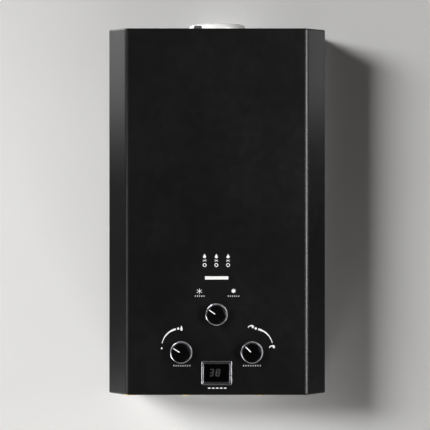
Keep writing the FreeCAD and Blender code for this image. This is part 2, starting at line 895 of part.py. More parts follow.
def make_fin_pack():
    """Upright fins across the flue gas, drilled for the passes of the tube."""
    body = chamber_block("fin_pack", FIN_LOW, "fin_height")
    pitch = "((chamber_width - fin_sheet) / fin_cells)"
    first = "(fin_sheet - chamber_width / 2)"
    cell = new_sketch(body, "top", HOOD_LOW)
    depth = "(chamber_length / 2 - fin_wall)"
    add_rectangle(cell, first, f"{first} + {pitch} - fin_sheet", f"-{depth}", depth)
    gap = pocket(body, cell, "fin_height")
    row_of(body, [gap], "X_Axis", "fin_cells", f"{pitch} * (fin_cells - 1)")
    holes = new_sketch(body, "side")
    for y in ("-tube_spacing", "0", "tube_spacing"):
        add_circle(holes, y, FIN_MIDDLE, "tube_radius + tube_gap")
    pocket(body, holes, "2 * chamber_width", both_ways=True)
    return body


def make_water_tubes():
    """Cold pipe, coil round the chamber, passes through the fins and hot pipe, end to end."""
    turn = "(chamber_width / 2 + tube_overhang)"
    tube_end = "(chamber_width / 2 + tube_stub)"
    rear_pass = f"({FLUE_Y} + tube_spacing)"
    front_pass = f"({FLUE_Y} - tube_spacing)"
    coil_x = "(chamber_width / 2 + coil_gap + tube_radius)"
    coil_rear = f"({FLUE_Y} + chamber_length / 2 + coil_gap + tube_radius)"
    coil_front = f"({FLUE_Y} - chamber_length / 2 - coil_gap - tube_radius)"
    bent_tube(
        "exchanger_tube",
        [
            point(tube_end, rear_pass, FIN_MIDDLE),
            point(f"-{turn}", rear_pass, FIN_MIDDLE),
            point(f"-{turn}", FLUE_Y, FIN_MIDDLE),
            point(turn, FLUE_Y, FIN_MIDDLE),
            point(turn, front_pass, FIN_MIDDLE),
            point(f"-{tube_end}", front_pass, FIN_MIDDLE),
        ],
        "tube_spacing / 2 - bend_land",
        "tube_radius",
        "tube_wall",
    )

    first_z = f"({CHAMBER_LOW} + coil_lift)"
    route = [point(coil_x, front_pass, COIL_START), point(coil_x, front_pass, first_z)]
    left = f"-{coil_x}"
    corners = ((coil_x, coil_rear), (left, coil_rear), (left, coil_front), (coil_x, coil_front))
    for step in range(1, COIL_CORNERS + 1):
        x, y = corners[(step - 1) % len(corners)]
        route.append(point(x, y, f"{first_z} + {step} * coil_rise"))
    route.append(point("riser_offset", rear_pass, f"{first_z} + {COIL_CORNERS + 1} * coil_rise"))
    route.append(point("riser_offset", rear_pass, FIN_MIDDLE))
    route.append(point(tube_end, rear_pass, FIN_MIDDLE))
    bent_tube("chamber_coil", route, "pipe_bend", "tube_radius", "tube_wall")

    bent_tube(
        "cold_pipe",
        [
            point("cold_offset", VALVE_Y, f"{VALVE_Z} + {PORT_REACH}"),
            point("cold_offset", VALVE_Y, COLD_PIPE_Z),
            point(coil_x, front_pass, COLD_PIPE_Z),
            point(coil_x, front_pass, COIL_START),
        ],
        "pipe_bend",
        "tube_radius",
        "tube_wall",
    )
    bent_tube(
        "hot_pipe",
        [
            point(f"-{tube_end}", front_pass, FIN_MIDDLE),
            point("-hot_offset", front_pass, FIN_MIDDLE),
            point("-hot_offset", front_pass, f"{CONNECTOR_TOP} + hot_step_high"),
            point("-hot_offset", VALVE_Y, f"{CONNECTOR_TOP} + hot_step_low"),
            point("-hot_offset", VALVE_Y, CONNECTOR_TOP),
        ],
        "pipe_bend",
        "tube_radius",
        "tube_wall",
    )


def make_chamber_brackets():
    """Folded brackets that carry the burner and the fins on the back plate."""
    body = new_body("chamber_brackets", x="-bracket_spacing / 2", z=f"{TRAY_LOW} + bracket_lift")
    plan = new_sketch(body, "top")
    rear = "(-plate_sheet)"
    front = f"({FLUE_Y} + chamber_length / 2)"
    add_outline(
        plan,
        [
            ("-bracket_sheet", rear),
            ("-bracket_sheet", f"{front} + bracket_sheet"),
            ("-bracket_foot", f"{front} + bracket_sheet"),
            ("-bracket_foot", front),
            ("0", front),
            ("0", f"{rear} - bracket_sheet"),
            ("bracket_foot", f"{rear} - bracket_sheet"),
            ("bracket_foot", rear),
        ],
    )
    pad(body, plan, "bracket_height")
    row_of(body, [], "X_Axis", "2", "bracket_spacing")
    row_of(body, [], "Z_Axis", "2", f"{FIN_LOW} - {TRAY_LOW}")
    return body


def make_burner_tray():
    """Sheet frame under the chamber, open above and below."""
    body = chamber_block("burner_tray", TRAY_LOW, "tray_height")
    hollow(body, "tray_sheet", lambda face: is_face_at(face, z=CHAMBER_LOW) or is_face_at(face, z=TRAY_LOW))
    hole = new_sketch(body, "front", "chamber_length / 2")
    add_circle(hole, FIRST_BAR_X, MANIFOLD_Z, "nozzle_radius + nozzle_clearance")
    cut = pocket(body, hole, "2 * tray_sheet")
    row_of(body, [cut], "X_Axis", "bar_count", BAR_SPAN)
    electrodes = new_sketch(body, "side")
    add_circle(electrodes, "-electrode_offset", ELECTRODE_Z, "electrode_radius + electrode_gap")
    pocket(body, electrodes, "2 * chamber_width", both_ways=True)
    return body


def make_burner_bars():
    """Row of pressed burner bars, each with a venturi mouth in front and flame ports on top."""
    body = new_body("burner_bars", x=FIRST_BAR_X, y=FLUE_Y)
    front = "(bar_margin - chamber_length / 2)"
    rear = "(chamber_length / 2 - tray_sheet)"
    top = f"({CHAMBER_LOW} - bar_top_drop)"
    low = f"({MANIFOLD_Z} - mouth_radius)"
    high = f"({MANIFOLD_Z} + mouth_radius)"
    section = new_sketch(body, "side")
    add_outline(
        section,
        [
            (f"{front} + bar_throat", low),
            (f"{rear} - bar_throat", low),
            (rear, f"{low} + bar_throat"),
            (rear, top),
            (f"{front} + bar_throat / 2", top),
            (f"{front} + bar_throat / 2", high),
            (f"{front} + bar_throat", high),
        ],
    )
    pad(body, section, "bar_width", both_ways=True)
    mouth = new_sketch(body, "front", f"-{front}")
    add_circle(mouth, "0", MANIFOLD_Z, "mouth_radius")
    pad(body, mouth, "bar_throat + bar_width / 2", backwards=True)
    bore = new_sketch(body, "front", f"-{front}")
    add_circle(bore, "0", MANIFOLD_Z, "mouth_bore")
    pocket(body, bore, "bar_throat")
    port = new_sketch(body, "top", top)
    port_pitch = f"(({rear} - {front} - bar_throat) / port_count)"
    first = f"({front} + bar_throat / 2 + {port_pitch} / 2)"
    add_rectangle(port, "-bar_width", "bar_width", first, f"{first} + port_width")
    cut = pocket(body, port, "port_depth")
    row_of(body, [cut], "Y_Axis", "port_count", f"{port_pitch} * (port_count - 1)")
    row_of(body, [], "X_Axis", "bar_count", BAR_SPAN)
    return body


def make_injector_manifold():
    """Bar that carries the gas nozzles across the front of the burner."""
    body = new_body("injector_manifold", y=MANIFOLD_Y, z=MANIFOLD_Z)
    section = new_sketch(body, "side")
    half = "manifold_size / 2"
    add_rectangle(section, f"-{half}", half, f"-{half}", half)
    pad(body, section, "chamber_width", both_ways=True)
    fillet(body, "manifold_corner", lambda edge: runs_along(edge, "x"))
    return body


def make_injector_nozzles():
    """One drilled brass nozzle for each burner bar."""
    seat = "manifold_size / 2"
    body = turned(
        "injector_nozzles",
        "y",
        [
            (seat, "nozzle_bore"),
            (seat, "nozzle_radius"),
            (f"{seat} + nozzle_length / 2", "nozzle_radius"),
            (f"{seat} + nozzle_length", "nozzle_radius / 2"),
            (f"{seat} + nozzle_length", "nozzle_bore"),
        ],
        x=FIRST_BAR_X,
        y=MANIFOLD_Y,
        z=MANIFOLD_Z,
    )
    row_of(body, [], "X_Axis", "bar_count", BAR_SPAN)
    return body


def make_electrode(label, side_sign):
    """Ceramic rod through the tray's side wall, with a wire over the burner bars."""
    wall = "(chamber_width / 2"
    return turned(
        label,
        "x",
        [
            (f"{side_sign}{wall} + electrode_out)", "0"),
            (f"{side_sign}{wall} + electrode_out)", "electrode_radius"),
            (f"{side_sign}{wall} - electrode_in)", "electrode_radius"),
            (f"{side_sign}{wall} - electrode_in)", "electrode_wire"),
            (f"{side_sign}{wall} - electrode_in - electrode_reach)", "electrode_wire"),
            (f"{side_sign}{wall} - electrode_in - electrode_reach)", "0"),
        ],
        y=f"{FLUE_Y} - electrode_offset",
        z=ELECTRODE_Z,
    )


def add_spindle_boss(body, x, start, front):
    """Round boss towards the front with the blind bore that guides a spindle."""
    boss = new_sketch(body, "front", start)
    add_circle(boss, x, "0", "boss_radius")
    pad(body, boss, f"{front} - ({start})")
    bore = new_sketch(body, "front", front)
    add_circle(bore, x, "0", "spindle_radius + running_gap")
    pocket(body, bore, "boss_bore_depth")


def make_gas_valve_body():
    """Cast block with the valve chamber, the stem's gland and the knob's boss."""
    body = new_body("gas_valve_body", y=VALVE_Y, z=VALVE_Z)
    half = "gas_valve_size / 2"
    section = new_sketch(body, "side", GAS_LEFT)
    add_rectangle(section, f"-{half}", half, f"-{half}", half)
    pad(body, section, "gas_valve_length")
    fillet(body, "valve_corner", lambda edge: runs_along(edge, "x"))
    chamber = new_sketch(body, "side", GAS_LEFT)
    add_circle(chamber, "0", "0", "gas_bore")
    pocket(body, chamber, "gas_valve_length - seat_wall", backwards=True)
    gland = new_sketch(body, "side", "-gas_valve_inner_end")
    add_circle(gland, "0", "0", "stem_radius + running_gap")
    pocket(body, gland, "gas_valve_length")
    add_spindle_boss(body, "-gas_knob_offset", "gas_bore + boss_floor", SPINDLE_BOSS_FRONT)
    return body


def make_gas_valve_cap():
    """Plug that closes the valve chamber."""
    return turned(
        "gas_valve_cap",
        "x",
        [
            (f"{GAS_LEFT} - cap_flange", "0"),
            (f"{GAS_LEFT} - cap_flange", "gas_valve_size / 2 - valve_corner / 2"),
            (GAS_LEFT, "gas_valve_size / 2 - valve_corner / 2"),
            (GAS_LEFT, "gas_bore - cap_gap"),
            (f"{GAS_LEFT} + cap_plug", "gas_bore - cap_gap"),
            (f"{GAS_LEFT} + cap_plug", "0"),
        ],
        y=VALVE_Y,
        z=VALVE_Z,
    )


def make_safety_solenoid():
    """Coil can on the end of the gas valve."""
    seat = f"({GAS_LEFT} - cap_flange)"
    return turned(
        "safety_solenoid",
        "x",
        [
            (seat, "0"),
            (seat, "solenoid_radius"),
            (f"{seat} - solenoid_length + solenoid_edge", "solenoid_radius"),
            (f"{seat} - solenoid_length", "solenoid_radius - solenoid_edge"),
            (f"{seat} - solenoid_length", "0"),
        ],
        y=VALVE_Y,
        z=VALVE_Z,
    )


def make_season_valve():
    """Block under the manifold that shuts part of the burner off in summer."""
    body = new_body("season_valve", y=MANIFOLD_Y, z=SEASON_Z)
    face = new_sketch(body, "front", "manifold_size / 2")
    add_rectangle(face, "-season_width / 2", "season_width / 2", "-season_size / 2", "season_size / 2")
    pad(body, face, "season_length", backwards=True)
    fillet(body, "valve_corner", lambda edge: runs_along(edge, "y"))
    neck = new_sketch(body, "top", "season_size / 2")
    half = "(manifold_size / 2 - manifold_corner)"
    add_rectangle(neck, f"-{half}", half, f"-{half}", half)
    pad(body, neck, "season_gap")
    bore = new_sketch(body, "front", "manifold_size / 2")
    add_circle(bore, "0", "0", "spindle_radius + running_gap")
    pocket(body, bore, "boss_bore_depth")
    return body


def make_gas_pipe():
    """Tube from the gas valve to the season valve."""
    season_y = f"({MANIFOLD_Y} - manifold_size / 2 + season_length / 2)"
    bent_tube(
        "gas_pipe",
        [
            point("-gas_pipe_offset", VALVE_Y, f"{VALVE_Z} + gas_valve_size / 2"),
            point("-gas_pipe_offset", VALVE_Y, SEASON_Z),
            point("-gas_pipe_offset", season_y, SEASON_Z),
            point("-season_width / 2", season_y, SEASON_Z),
        ],
        "gas_pipe_bend",
        "tube_radius",
        "tube_wall",
    )


def make_water_valve():
    """Two halves of the diaphragm housing, the diaphragm between them and the relief valve."""
    start = "housing_start"
    split = "(housing_start + cover_length)"
    body_start = f"({split} + diaphragm_sheet)"
    end = f"({body_start} + body_length)"
    gland = "stem_radius + running_gap"
    turned(
        "water_valve_cover",
        "x",
        [
            (start, gland),
            (start, "housing_radius - housing_wall"),
            (f"{start} + housing_wall", "housing_radius"),
            (split, "housing_radius"),
            (split, "recess_radius"),
            (f"{split} - recess_depth", "recess_radius"),
            (f"{split} - recess_depth", gland),
        ],
        y=VALVE_Y,
        z=VALVE_Z,
    )
    turned(
        "diaphragm",
        "x",
        [
            (split, "0"),
            (split, "housing_radius - diaphragm_inset"),
            (body_start, "housing_radius - diaphragm_inset"),
            (body_start, "0"),
        ],
        y=VALVE_Y,
        z=VALVE_Z,
    )
    flange_end = f"({body_start} + recess_depth + recess_floor)"
    body = turned(
        "water_valve_body",
        "x",
        [
            (body_start, "recess_radius"),
            (body_start, "housing_radius"),
            (flange_end, "housing_radius"),
            (flange_end, "0"),
            (f"{body_start} + recess_depth", "0"),
            (f"{body_start} + recess_depth", "recess_radius"),
        ],
        y=VALVE_Y,
        z=VALVE_Z,
    )
    block = new_sketch(body, "side", flange_end)
    half = "water_block_size / 2"
    add_rectangle(block, f"-{half}", half, f"-{half}", half)
    pad(body, block, f"{end} - {flange_end}")
    fillet(
        body,
        "valve_corner",
        lambda edge: runs_along(edge, "x") and (lies_at(edge, y=half) or lies_at(edge, y=f"-{half}")),
    )
    port_length = f"({PORT_REACH} - recess_radius - boss_floor)"
    for level, backwards in ((f"-{PORT_REACH}", False), (PORT_REACH, True)):
        port = new_sketch(body, "top", level)
        add_circle(port, "cold_offset", "0", "port_radius")
        pad(body, port, port_length, backwards=backwards)
    add_spindle_boss(body, "water_knob_offset", "recess_radius + boss_floor", SPINDLE_BOSS_FRONT)
    turned(
        "relief_valve",
        "x",
        [
            (end, "0"),
            (end, "relief_radius"),
            (f"{end} + relief_length / 2", "relief_radius"),
            (f"{end} + relief_length / 2", "relief_radius + relief_step"),
            (f"{end} + relief_length - relief_step", "relief_radius + relief_step"),
            (f"{end} + relief_length", "relief_radius"),
            (f"{end} + relief_length", "0"),
        ],
        y=VALVE_Y,
        z=VALVE_Z,
    )


def make_link_stem():
    """Stem from the diaphragm's plate to the gas disc, with the collar that trips the switch."""
    disc_right = "(-gas_valve_inner_end - seat_wall - disc_gap)"
    disc_left = f"({disc_right} - disc_thickness)"
    plate_right = "(housing_start + cover_length - plate_gap)"
    plate_left = f"({plate_right} - plate_thickness)"
    turned(
        "link_stem",
        "x",
        [
            (disc_right, "0"),
            (disc_right, "stem_radius"),
            ("trip_offset", "stem_radius"),
            ("trip_offset", "trip_radius"),
            ("trip_offset + trip_thickness", "trip_radius"),
            ("trip_offset + trip_thickness", "stem_radius"),
            (plate_left, "stem_radius"),
            (plate_left, "plate_radius"),
            (plate_right, "plate_radius"),
            (plate_right, "0"),
        ],
        y=VALVE_Y,
        z=VALVE_Z,
    )
    turned(
        "gas_valve_disc",
        "x",
        [
            (disc_left, "0"),
            (disc_left, "disc_radius - disc_thickness / 2"),
            (f"{disc_left} + disc_thickness / 2", "disc_radius"),
            (disc_right, "disc_radius"),
            (disc_right, "0"),
        ],
        y=VALVE_Y,
        z=VALVE_Z,
    )


def make_microswitch():
    """Switch with an upright lever that follows the stem's collar, on its bracket."""
    pivot_x = "(trip_offset - lever_gap - lever_sheet / 2)"
    pivot_z = f"({VALVE_Z} - trip_radius - lever_arm)"
    switch_top = "(-lug_size / 2)"
    body = new_body("microswitch", pivot_x, VALVE_Y, pivot_z)
    face = new_sketch(body, "front", "switch_width / 2")
    add_rectangle(
        face, "-switch_length / 2", "switch_length / 2", f"{switch_top} - switch_height", switch_top
    )
    pad(body, face, "switch_width", backwards=True)
    lug = new_sketch(body, "front", "-switch_width / 2")
    add_rectangle(lug, "-lug_size / 2", "lug_size / 2", switch_top, "lug_size / 2")
    pad(body, lug, "switch_width - lever_width - lever_gap")
    hole = new_sketch(body, "front", "-switch_width / 2")
    add_circle(hole, "0", "0", "lever_pin_radius + running_gap")
    pocket(body, hole, "2 * switch_width", both_ways=True)

    lever = new_body("microswitch_lever", pivot_x, VALVE_Y, pivot_z)
    blade = new_sketch(lever, "front", "switch_width / 2")
    half = "lever_sheet / 2"
    add_rectangle(blade, f"-{half}", half, "0", "lever_arm + lever_overlap")
    pad(lever, blade, "lever_width", backwards=True)
    eye = new_sketch(lever, "front", "switch_width / 2")
    add_circle(eye, "0", "0", "lever_eye_radius")
    pad(lever, eye, "lever_width", backwards=True)
    pin = new_sketch(lever, "front", "switch_width / 2 - lever_width")
    add_circle(pin, "0", "0", "lever_pin_radius")
    pad(lever, pin, "switch_width - lever_width", backwards=True)

    bracket = new_body("switch_bracket", y=VALVE_Y, z=pivot_z)
    section = new_sketch(bracket, "front", "bracket_width / 2")
    low = f"({switch_top} - switch_height)"
    right = "housing_start"
    left = f"({pivot_x} - switch_length / 2)"
    leg_top = f"({VALVE_Z} - housing_radius + housing_wall + bracket_grip - {pivot_z})"
    add_outline(
        section,
        [
            (left, low),
            (left, f"{low} - bracket_sheet"),
            (right, f"{low} - bracket_sheet"),
            (right, leg_top),
            (f"{right} - bracket_sheet", leg_top),
            (f"{right} - bracket_sheet", low),
        ],
    )
    pad(bracket, section, "bracket_width", backwards=True)


def make_connector(label, x, neck_top=None):
    """Threaded end below the case, hexagon above the bottom plate and a neck up to its valve."""
    low = f"({BOTTOM} - connector_drop)"
    profile = [
        (low, "connector_bore"),
        (low, "connector_radius - thread_chamfer"),
        (f"{low} + thread_chamfer", "connector_radius"),
        (f"{low} + thread_chamfer + thread_length", "connector_radius"),
        (f"{low} + thread_chamfer + thread_length", "connector_radius - thread_chamfer"),
    ]
    top = neck_top or CONNECTOR_TOP
    profile += [(top, "connector_radius - thread_chamfer"), (top, "connector_bore")]
    body = turned(label, "z", profile, x=x, y=VALVE_Y)
    flats = new_sketch(body, "top", f"{CONNECTOR_TOP} - hexagon_height")
    points = []
    for corner in range(6):
        turn = math.radians(60 * corner)
        points.append((f"hexagon_radius * {math.cos(turn):.6f}", f"hexagon_radius * {math.sin(turn):.6f}"))
    add_outline(flats, points)
    pad(body, flats, "hexagon_height")
    bore = new_sketch(body, "top", CONNECTOR_TOP)
    add_circle(bore, "0", "0", "connector_bore")
    pocket(body, bore, "hexagon_height")
    return body


def make_pipe_clip(label, y, z, button_radius, button_length):
    """Ring clipped round the hot pipe, with a round sensor in front."""
    body = new_body(label, "-hot_offset", y, z)
    ring = new_sketch(body, "top", "-clamp_height / 2")
    add_circle(ring, "0", "0", "tube_radius + clamp_gap + clamp_wall")
    add_circle(ring, "0", "0", "tube_radius + clamp_gap")
    pad(body, ring, "clamp_height")
    button = new_sketch(body, "front", "tube_radius + clamp_gap + clamp_wall / 2")
    add_circle(button, "0", "0", button_radius)
    pad(body, button, button_length)
    return body


def make_knob(name, x, z, pointer_angle, bore_front):
    """Knob, its chrome ring and its spindle."""
    front = "(-knob_height)"
    bottom = "(knob_face_dish - knob_height)"
    knob = turned(
        f"knob_{name}",
        "y",
        [
            ("0", "spindle_radius + ring_fit"),
            ("0", "knob_radius"),
            (front, "knob_radius - knob_taper"),
            (front, "knob_radius - knob_taper - knob_face_rim"),
            (bottom, "knob_radius - knob_taper - knob_face_rim - knob_face_dish"),
            (bottom, "0"),
            (f"{bottom} + knob_wall", "0"),
            (f"{bottom} + knob_wall", "spindle_radius + ring_fit"),
        ],
        x=x,
        y="-case_depth - knob_gap",
        z=z,
    )
    fillet(knob, "knob_edge", lambda edge: is_circle(edge, "knob_radius - knob_taper", y=front))
    groove = new_sketch(knob, "front", f"-{bottom}")
    add_rectangle(
        groove,
        "pointer_start",
        "knob_radius - knob_taper - knob_face_rim - knob_face_dish",
        "-pointer_width / 2",
        "pointer_width / 2",
    )
    pocket(knob, groove, "pointer_depth")
    knob.setExpression("Placement.Rotation.Axis.x", "0")
    knob.setExpression("Placement.Rotation.Axis.y", "-1")
    knob.setExpression("Placement.Rotation.Axis.z", "0")
    knob.setExpression("Placement.Rotation.Angle", bound(pointer_angle))

    turned(
        f"ring_{name}",
        "y",
        [
            ("0", "knob_radius + ring_fit"),
            ("0", "ring_radius"),
            ("ring_edge - ring_height", "ring_radius"),
            ("-ring_height", "ring_radius - ring_edge"),
            ("-ring_height", "knob_radius + ring_fit"),
        ],
        x=x,
        y="-case_depth - knob_gap",
        z=z,
    )
    tip = f"(-case_depth - knob_gap + {bottom} + knob_wall + spindle_end_gap)"
    heel = f"({bore_front} + boss_bore_depth - spindle_end_gap)"
    turned(
        f"spindle_{name}",
        "y",
        [
            (tip, "0"),
            (tip, "spindle_radius"),
            (heel, "spindle_radius"),
            (heel, "0"),
        ],
        x=x,
        z=z,
    )


def make_display():
    """Bevelled bezel in the panel, its window and the module behind."""
    bezel = new_body("display_bezel", y="-case_depth", z=DISPLAY_Z)
    face = new_sketch(bezel, "front")
    bezel_width = "display_width / 2"
    bezel_height = "display_height / 2"
    add_rectangle(face, f"-{bezel_width}", bezel_width, f"-{bezel_height}", bezel_height)
    pad(bezel, face, "display_proud")
    fillet(bezel, "display_corner", lambda edge: runs_along(edge, "y"))
    chamfer(bezel, "display_edge", lambda edge: lies_at(edge, y="-display_proud"))
    half_width = "(display_width / 2 - display_inset - display_cut_gap)"
    half_height = "(display_height / 2 - display_inset - display_cut_gap)"
    sleeve = new_sketch(bezel, "front")
    add_rectangle(sleeve, f"-{half_width}", half_width, f"-{half_height}", half_height)
    pad(bezel, sleeve, "cover_sheet", backwards=True)
    opening = new_sketch(bezel, "front", "display_proud")
    open_width = "(display_width / 2 - display_band)"
    open_height = "(display_height / 2 - display_band)"
    add_rectangle(opening, f"-{open_width}", open_width, f"-{open_height}", open_height)
    pocket(bezel, opening, "display_proud + 2 * cover_sheet")
    chamfer(
        bezel,
        "display_slope",
        lambda edge: lies_at(edge, y="-display_proud")
        and (lies_at(edge, x=open_width) or lies_at(edge, x=f"-{open_width}")
             or lies_at(edge, z=open_height) or lies_at(edge, z=f"-{open_height}")),
    )

    window = new_body("display_window", y=PANEL_BACK, z=DISPLAY_Z)
    pane = new_sketch(window, "front")
    pane_width = f"({open_width} - window_gap)"
    pane_height = f"({open_height} - window_gap)"
    add_rectangle(pane, f"-{pane_width}", pane_width, f"-{pane_height}", pane_height)
    pad(window, pane, "window_sheet")

    module = new_body("display_module", y=PANEL_BACK, z=DISPLAY_Z)
    back = new_sketch(module, "front")
    case_half_width = "(display_width / 2 + module_margin)"
    case_half_height = "(display_height / 2 - module_inset)"
    add_rectangle(back, f"-{case_half_width}", case_half_width, f"-{case_half_height}", case_half_height)
    pad(module, back, "module_depth", backwards=True)
    fillet(module, "display_corner", lambda edge: runs_along(edge, "y"))


def make_sight_window():
    """Pane in the slot under the flame icons, with a lip behind the panel."""
    body = new_body("sight_window", y=PANEL_BACK, z=SIGHT_Z)
    lip = new_sketch(body, "front")
    add_rectangle(
        lip,
        "-sight_width / 2 - sight_lip",
        "sight_width / 2 + sight_lip",
        "-sight_height / 2 - sight_lip",
        "sight_height / 2 + sight_lip",
    )
    pad(body, lip, "sight_sheet", backwards=True)
    pane = new_sketch(body, "front")
    add_rectangle(
        pane,
        "-sight_width / 2 + sight_gap",
        "sight_width / 2 - sight_gap",
        "-sight_height / 2 + sight_gap",
        "sight_height / 2 - sight_gap",
    )
    pad(body, pane, "cover_sheet - sight_gap")
    return body


def make_igniter():
    """Pulse igniter on the back plate, with its two leads."""
    body = new_body("pulse_igniter", IGNITER_X, "-plate_sheet", IGNITER_Z)
    face = new_sketch(body, "front")
    half_width = "igniter_width / 2"
    half_height = "igniter_height / 2"
    add_rectangle(face, f"-{half_width}", half_width, f"-{half_height}", half_height)
    pad(body, face, "igniter_depth")
    fillet(body, "igniter_corner", lambda edge: runs_along(edge, "y"))

    lead_y = f"({FLUE_Y} - electrode_offset)"
    out_x = "(chamber_width / 2 + electrode_out)"
    bend_x = "((chamber_width / 2 + electrode_out + case_width / 2 - cover_sheet) / 2 + lead_reach)"
    middle_y = "(-plate_sheet - igniter_depth / 2)"
    bent_tube(
        "spark_lead",
        [
            point(f"-{out_x}", lead_y, ELECTRODE_Z),
            point(f"-{bend_x}", lead_y, ELECTRODE_Z),
            point(f"-{bend_x}", f"{middle_y} - lead_swing", f"{IGNITER_Z} + igniter_height / 2 + lead_swing"),
            point(f"{IGNITER_X} - lead_port", middle_y, f"{IGNITER_Z} + igniter_height / 2 + lead_rise"),
            point(f"{IGNITER_X} - lead_port", middle_y, f"{IGNITER_Z} + igniter_height / 2"),
        ],
        "lead_bend",
        "lead_radius",
    )
    bent_tube(
        "sensor_lead",
        [
            point(out_x, lead_y, ELECTRODE_Z),
            point(bend_x, lead_y, ELECTRODE_Z),
            point(bend_x, f"{middle_y} - lead_swing", f"{IGNITER_Z} + lead_swing"),
            point("cold_offset", middle_y, IGNITER_Z),
            point(f"{IGNITER_X} + igniter_width / 2", middle_y, IGNITER_Z),
        ],
        "lead_bend",
        "lead_radius",
    )


def make_battery_box():
    """Box for two cells, open below, with the lugs of the door's hinge."""
    body = new_body("battery_box", BOX_X, BOX_REAR, BOX_RIM)
    plan = new_sketch(body, "top")
    half = f"({BOX_WIDTH} / 2)"
    add_rectangle(plan, f"-{half}", half, f"-{BOX_DEPTH}", "0")
    pad(body, plan, f"{CELL_SPACE} + box_wall")
    fillet(body, "box_corner", lambda edge: runs_along(edge, "z"))
    space = new_sketch(body, "top")
    inner_half = f"({half} - box_wall)"
    add_rectangle(space, f"-{inner_half}", inner_half, f"box_wall - {BOX_DEPTH}", "-box_wall")
    pocket(body, space, CELL_SPACE, backwards=True)
    axis_z = HINGE_DROP
    for side_sign in ("-", ""):
        lug = new_sketch(body, "side", f"{side_sign}(hinge_length / 2 + hinge_gap + hinge_lug / 2)")
        reach = "(hinge_radius + hinge_gap / 2)"
        add_rectangle(
            lug, f"-hinge_setback - {reach}", "0", f"-{axis_z} - {reach}", "lug_root"
        )
        pad(body, lug, "hinge_lug", both_ways=True)
    bore = new_sketch(body, "side")
    add_circle(bore, "-hinge_setback", f"-{axis_z}", "hinge_pin_radius + running_gap")
    pocket(body, bore, BOX_WIDTH, both_ways=True)
    return body


def make_battery_door():
    """Door under the box, turned on the pins at its rear edge."""
    body = turned(
        "battery_door",
        "x",
        [
            ("-hinge_length / 2 - hinge_gap - hinge_lug", "0"),
            ("-hinge_length / 2 - hinge_gap - hinge_lug", "hinge_pin_radius"),
            ("-hinge_length / 2", "hinge_pin_radius"),
            ("-hinge_length / 2", "hinge_radius"),
            ("hinge_length / 2", "hinge_radius"),
            ("hinge_length / 2", "hinge_pin_radius"),
            ("hinge_length / 2 + hinge_gap + hinge_lug", "hinge_pin_radius"),
            ("hinge_length / 2 + hinge_gap + hinge_lug", "0"),
        ],
        x=BOX_X,
        y=f"{BOX_REAR} - hinge_setback",
        z=f"{BOX_RIM} - {HINGE_DROP}",
    )
    leaf = new_sketch(body, "top", "-door_sheet / 2")
    half = f"({BOX_WIDTH} / 2 + door_overlap)"
    front = f"(hinge_setback - {BOX_DEPTH} - door_overlap)"
    edge_y = "(-hinge_radius - leaf_gap)"
    neck = "(hinge_length / 2)"
    add_outline(
        leaf,
        [
            (f"-{half}", front),
            (half, front),
            (half, edge_y),
            (neck, edge_y),
            (neck, "0"),
            (f"-{neck}", "0"),
            (f"-{neck}", edge_y),
            (f"-{half}", edge_y),
        ],
    )
    pad(body, leaf, "door_sheet")
    fillet(body, "box_corner", lambda edge: runs_along(edge, "z") and lies_at(edge, y=front))
    grip = new_sketch(body, "top", "-door_sheet / 2")
    add_rectangle(grip, "-door_grip / 2", "door_grip / 2", front, f"{front} + door_sheet")
    pad(body, grip, "door_sheet", backwards=True)
    return body


def make_battery(label, side_sign):
    """Round cell standing on its flat end."""
    return turned(
        label,
        "z",
        [
            ("0", "0"),
            ("0", "cell_radius - cell_edge"),
            ("cell_edge", "cell_radius"),
            ("cell_length - cell_edge", "cell_radius"),
            ("cell_length", "cell_radius - cell_edge"),
            ("cell_length", "cell_nub_radius"),
            ("cell_length + cell_nub_length", "cell_nub_radius"),
            ("cell_length + cell_nub_length", "0"),
        ],
        x=f"{BOX_X} {side_sign} (cell_radius + cell_gap / 2)",
        y=f"{BOX_REAR} - box_wall - cell_gap - cell_radius",
        z=f"{BOX_RIM} + cell_end_gap",
    )


def check_pieces():
    """Stop where a feature failed or a piece has no sound solid."""
    faults = [f"{item.Name} failed" for item in doc.Objects if {"Invalid", "Error"} & set(item.State)]
    for piece in pieces:
        shape = piece.Shape
        if shape.isNull() or not shape.isValid() or not shape.Solids:
            faults.append(f"{piece.Label} has no valid solid")
    if faults:
        raise ValueError("; ".join(faults))


make_front_cover()
make_back_plate()
make_bottom_plate()
make_cover_screws()
make_plate_screws()
make_cover_clip()
make_flue_collar()
make_draft_hood()
make_combustion_chamber()
make_fin_pack()
make_water_tubes()
make_chamber_brackets()
make_burner_tray()
make_burner_bars()
make_injector_manifold()
make_injector_nozzles()
make_electrode("spark_electrode", "-")
make_electrode("flame_sensor", "")
make_gas_valve_body()
make_gas_valve_cap()
make_safety_solenoid()
make_season_valve()
make_gas_pipe()
make_water_valve()
make_link_stem()
make_microswitch()
make_connector("hot_connector", "-hot_offset")
make_connector("gas_connector", "-gas_offset", f"{VALVE_Z} - gas_valve_size / 2")
make_connector("cold_connector", "cold_offset", f"{VALVE_Z} - {PORT_REACH}")
make_pipe_clip("temperature_probe", VALVE_Y, f"{CONNECTOR_TOP} + probe_lift", "probe_radius", "probe_length")
make_pipe_clip(
    "overheat_thermostat",
    f"{FLUE_Y} - tube_spacing",
    f"{FIN_LOW} - thermostat_drop",
    "thermostat_radius",
    "thermostat_length",
)
make_knob("season", *KNOB_PLACES["season"], "season_pointer", f"({MANIFOLD_Y} - manifold_size / 2)")
make_knob("gas", *KNOB_PLACES["gas"], "gas_pointer", f"({VALVE_Y} - {SPINDLE_BOSS_FRONT})")
make_knob("water", *KNOB_PLACES["water"], "water_pointer", f"({VALVE_Y} - {SPINDLE_BOSS_FRONT})")
make_display()
make_sight_window()
make_igniter()
make_battery_box()
make_battery_door()
make_battery("battery_left", "-")
make_battery("battery_right", "+")

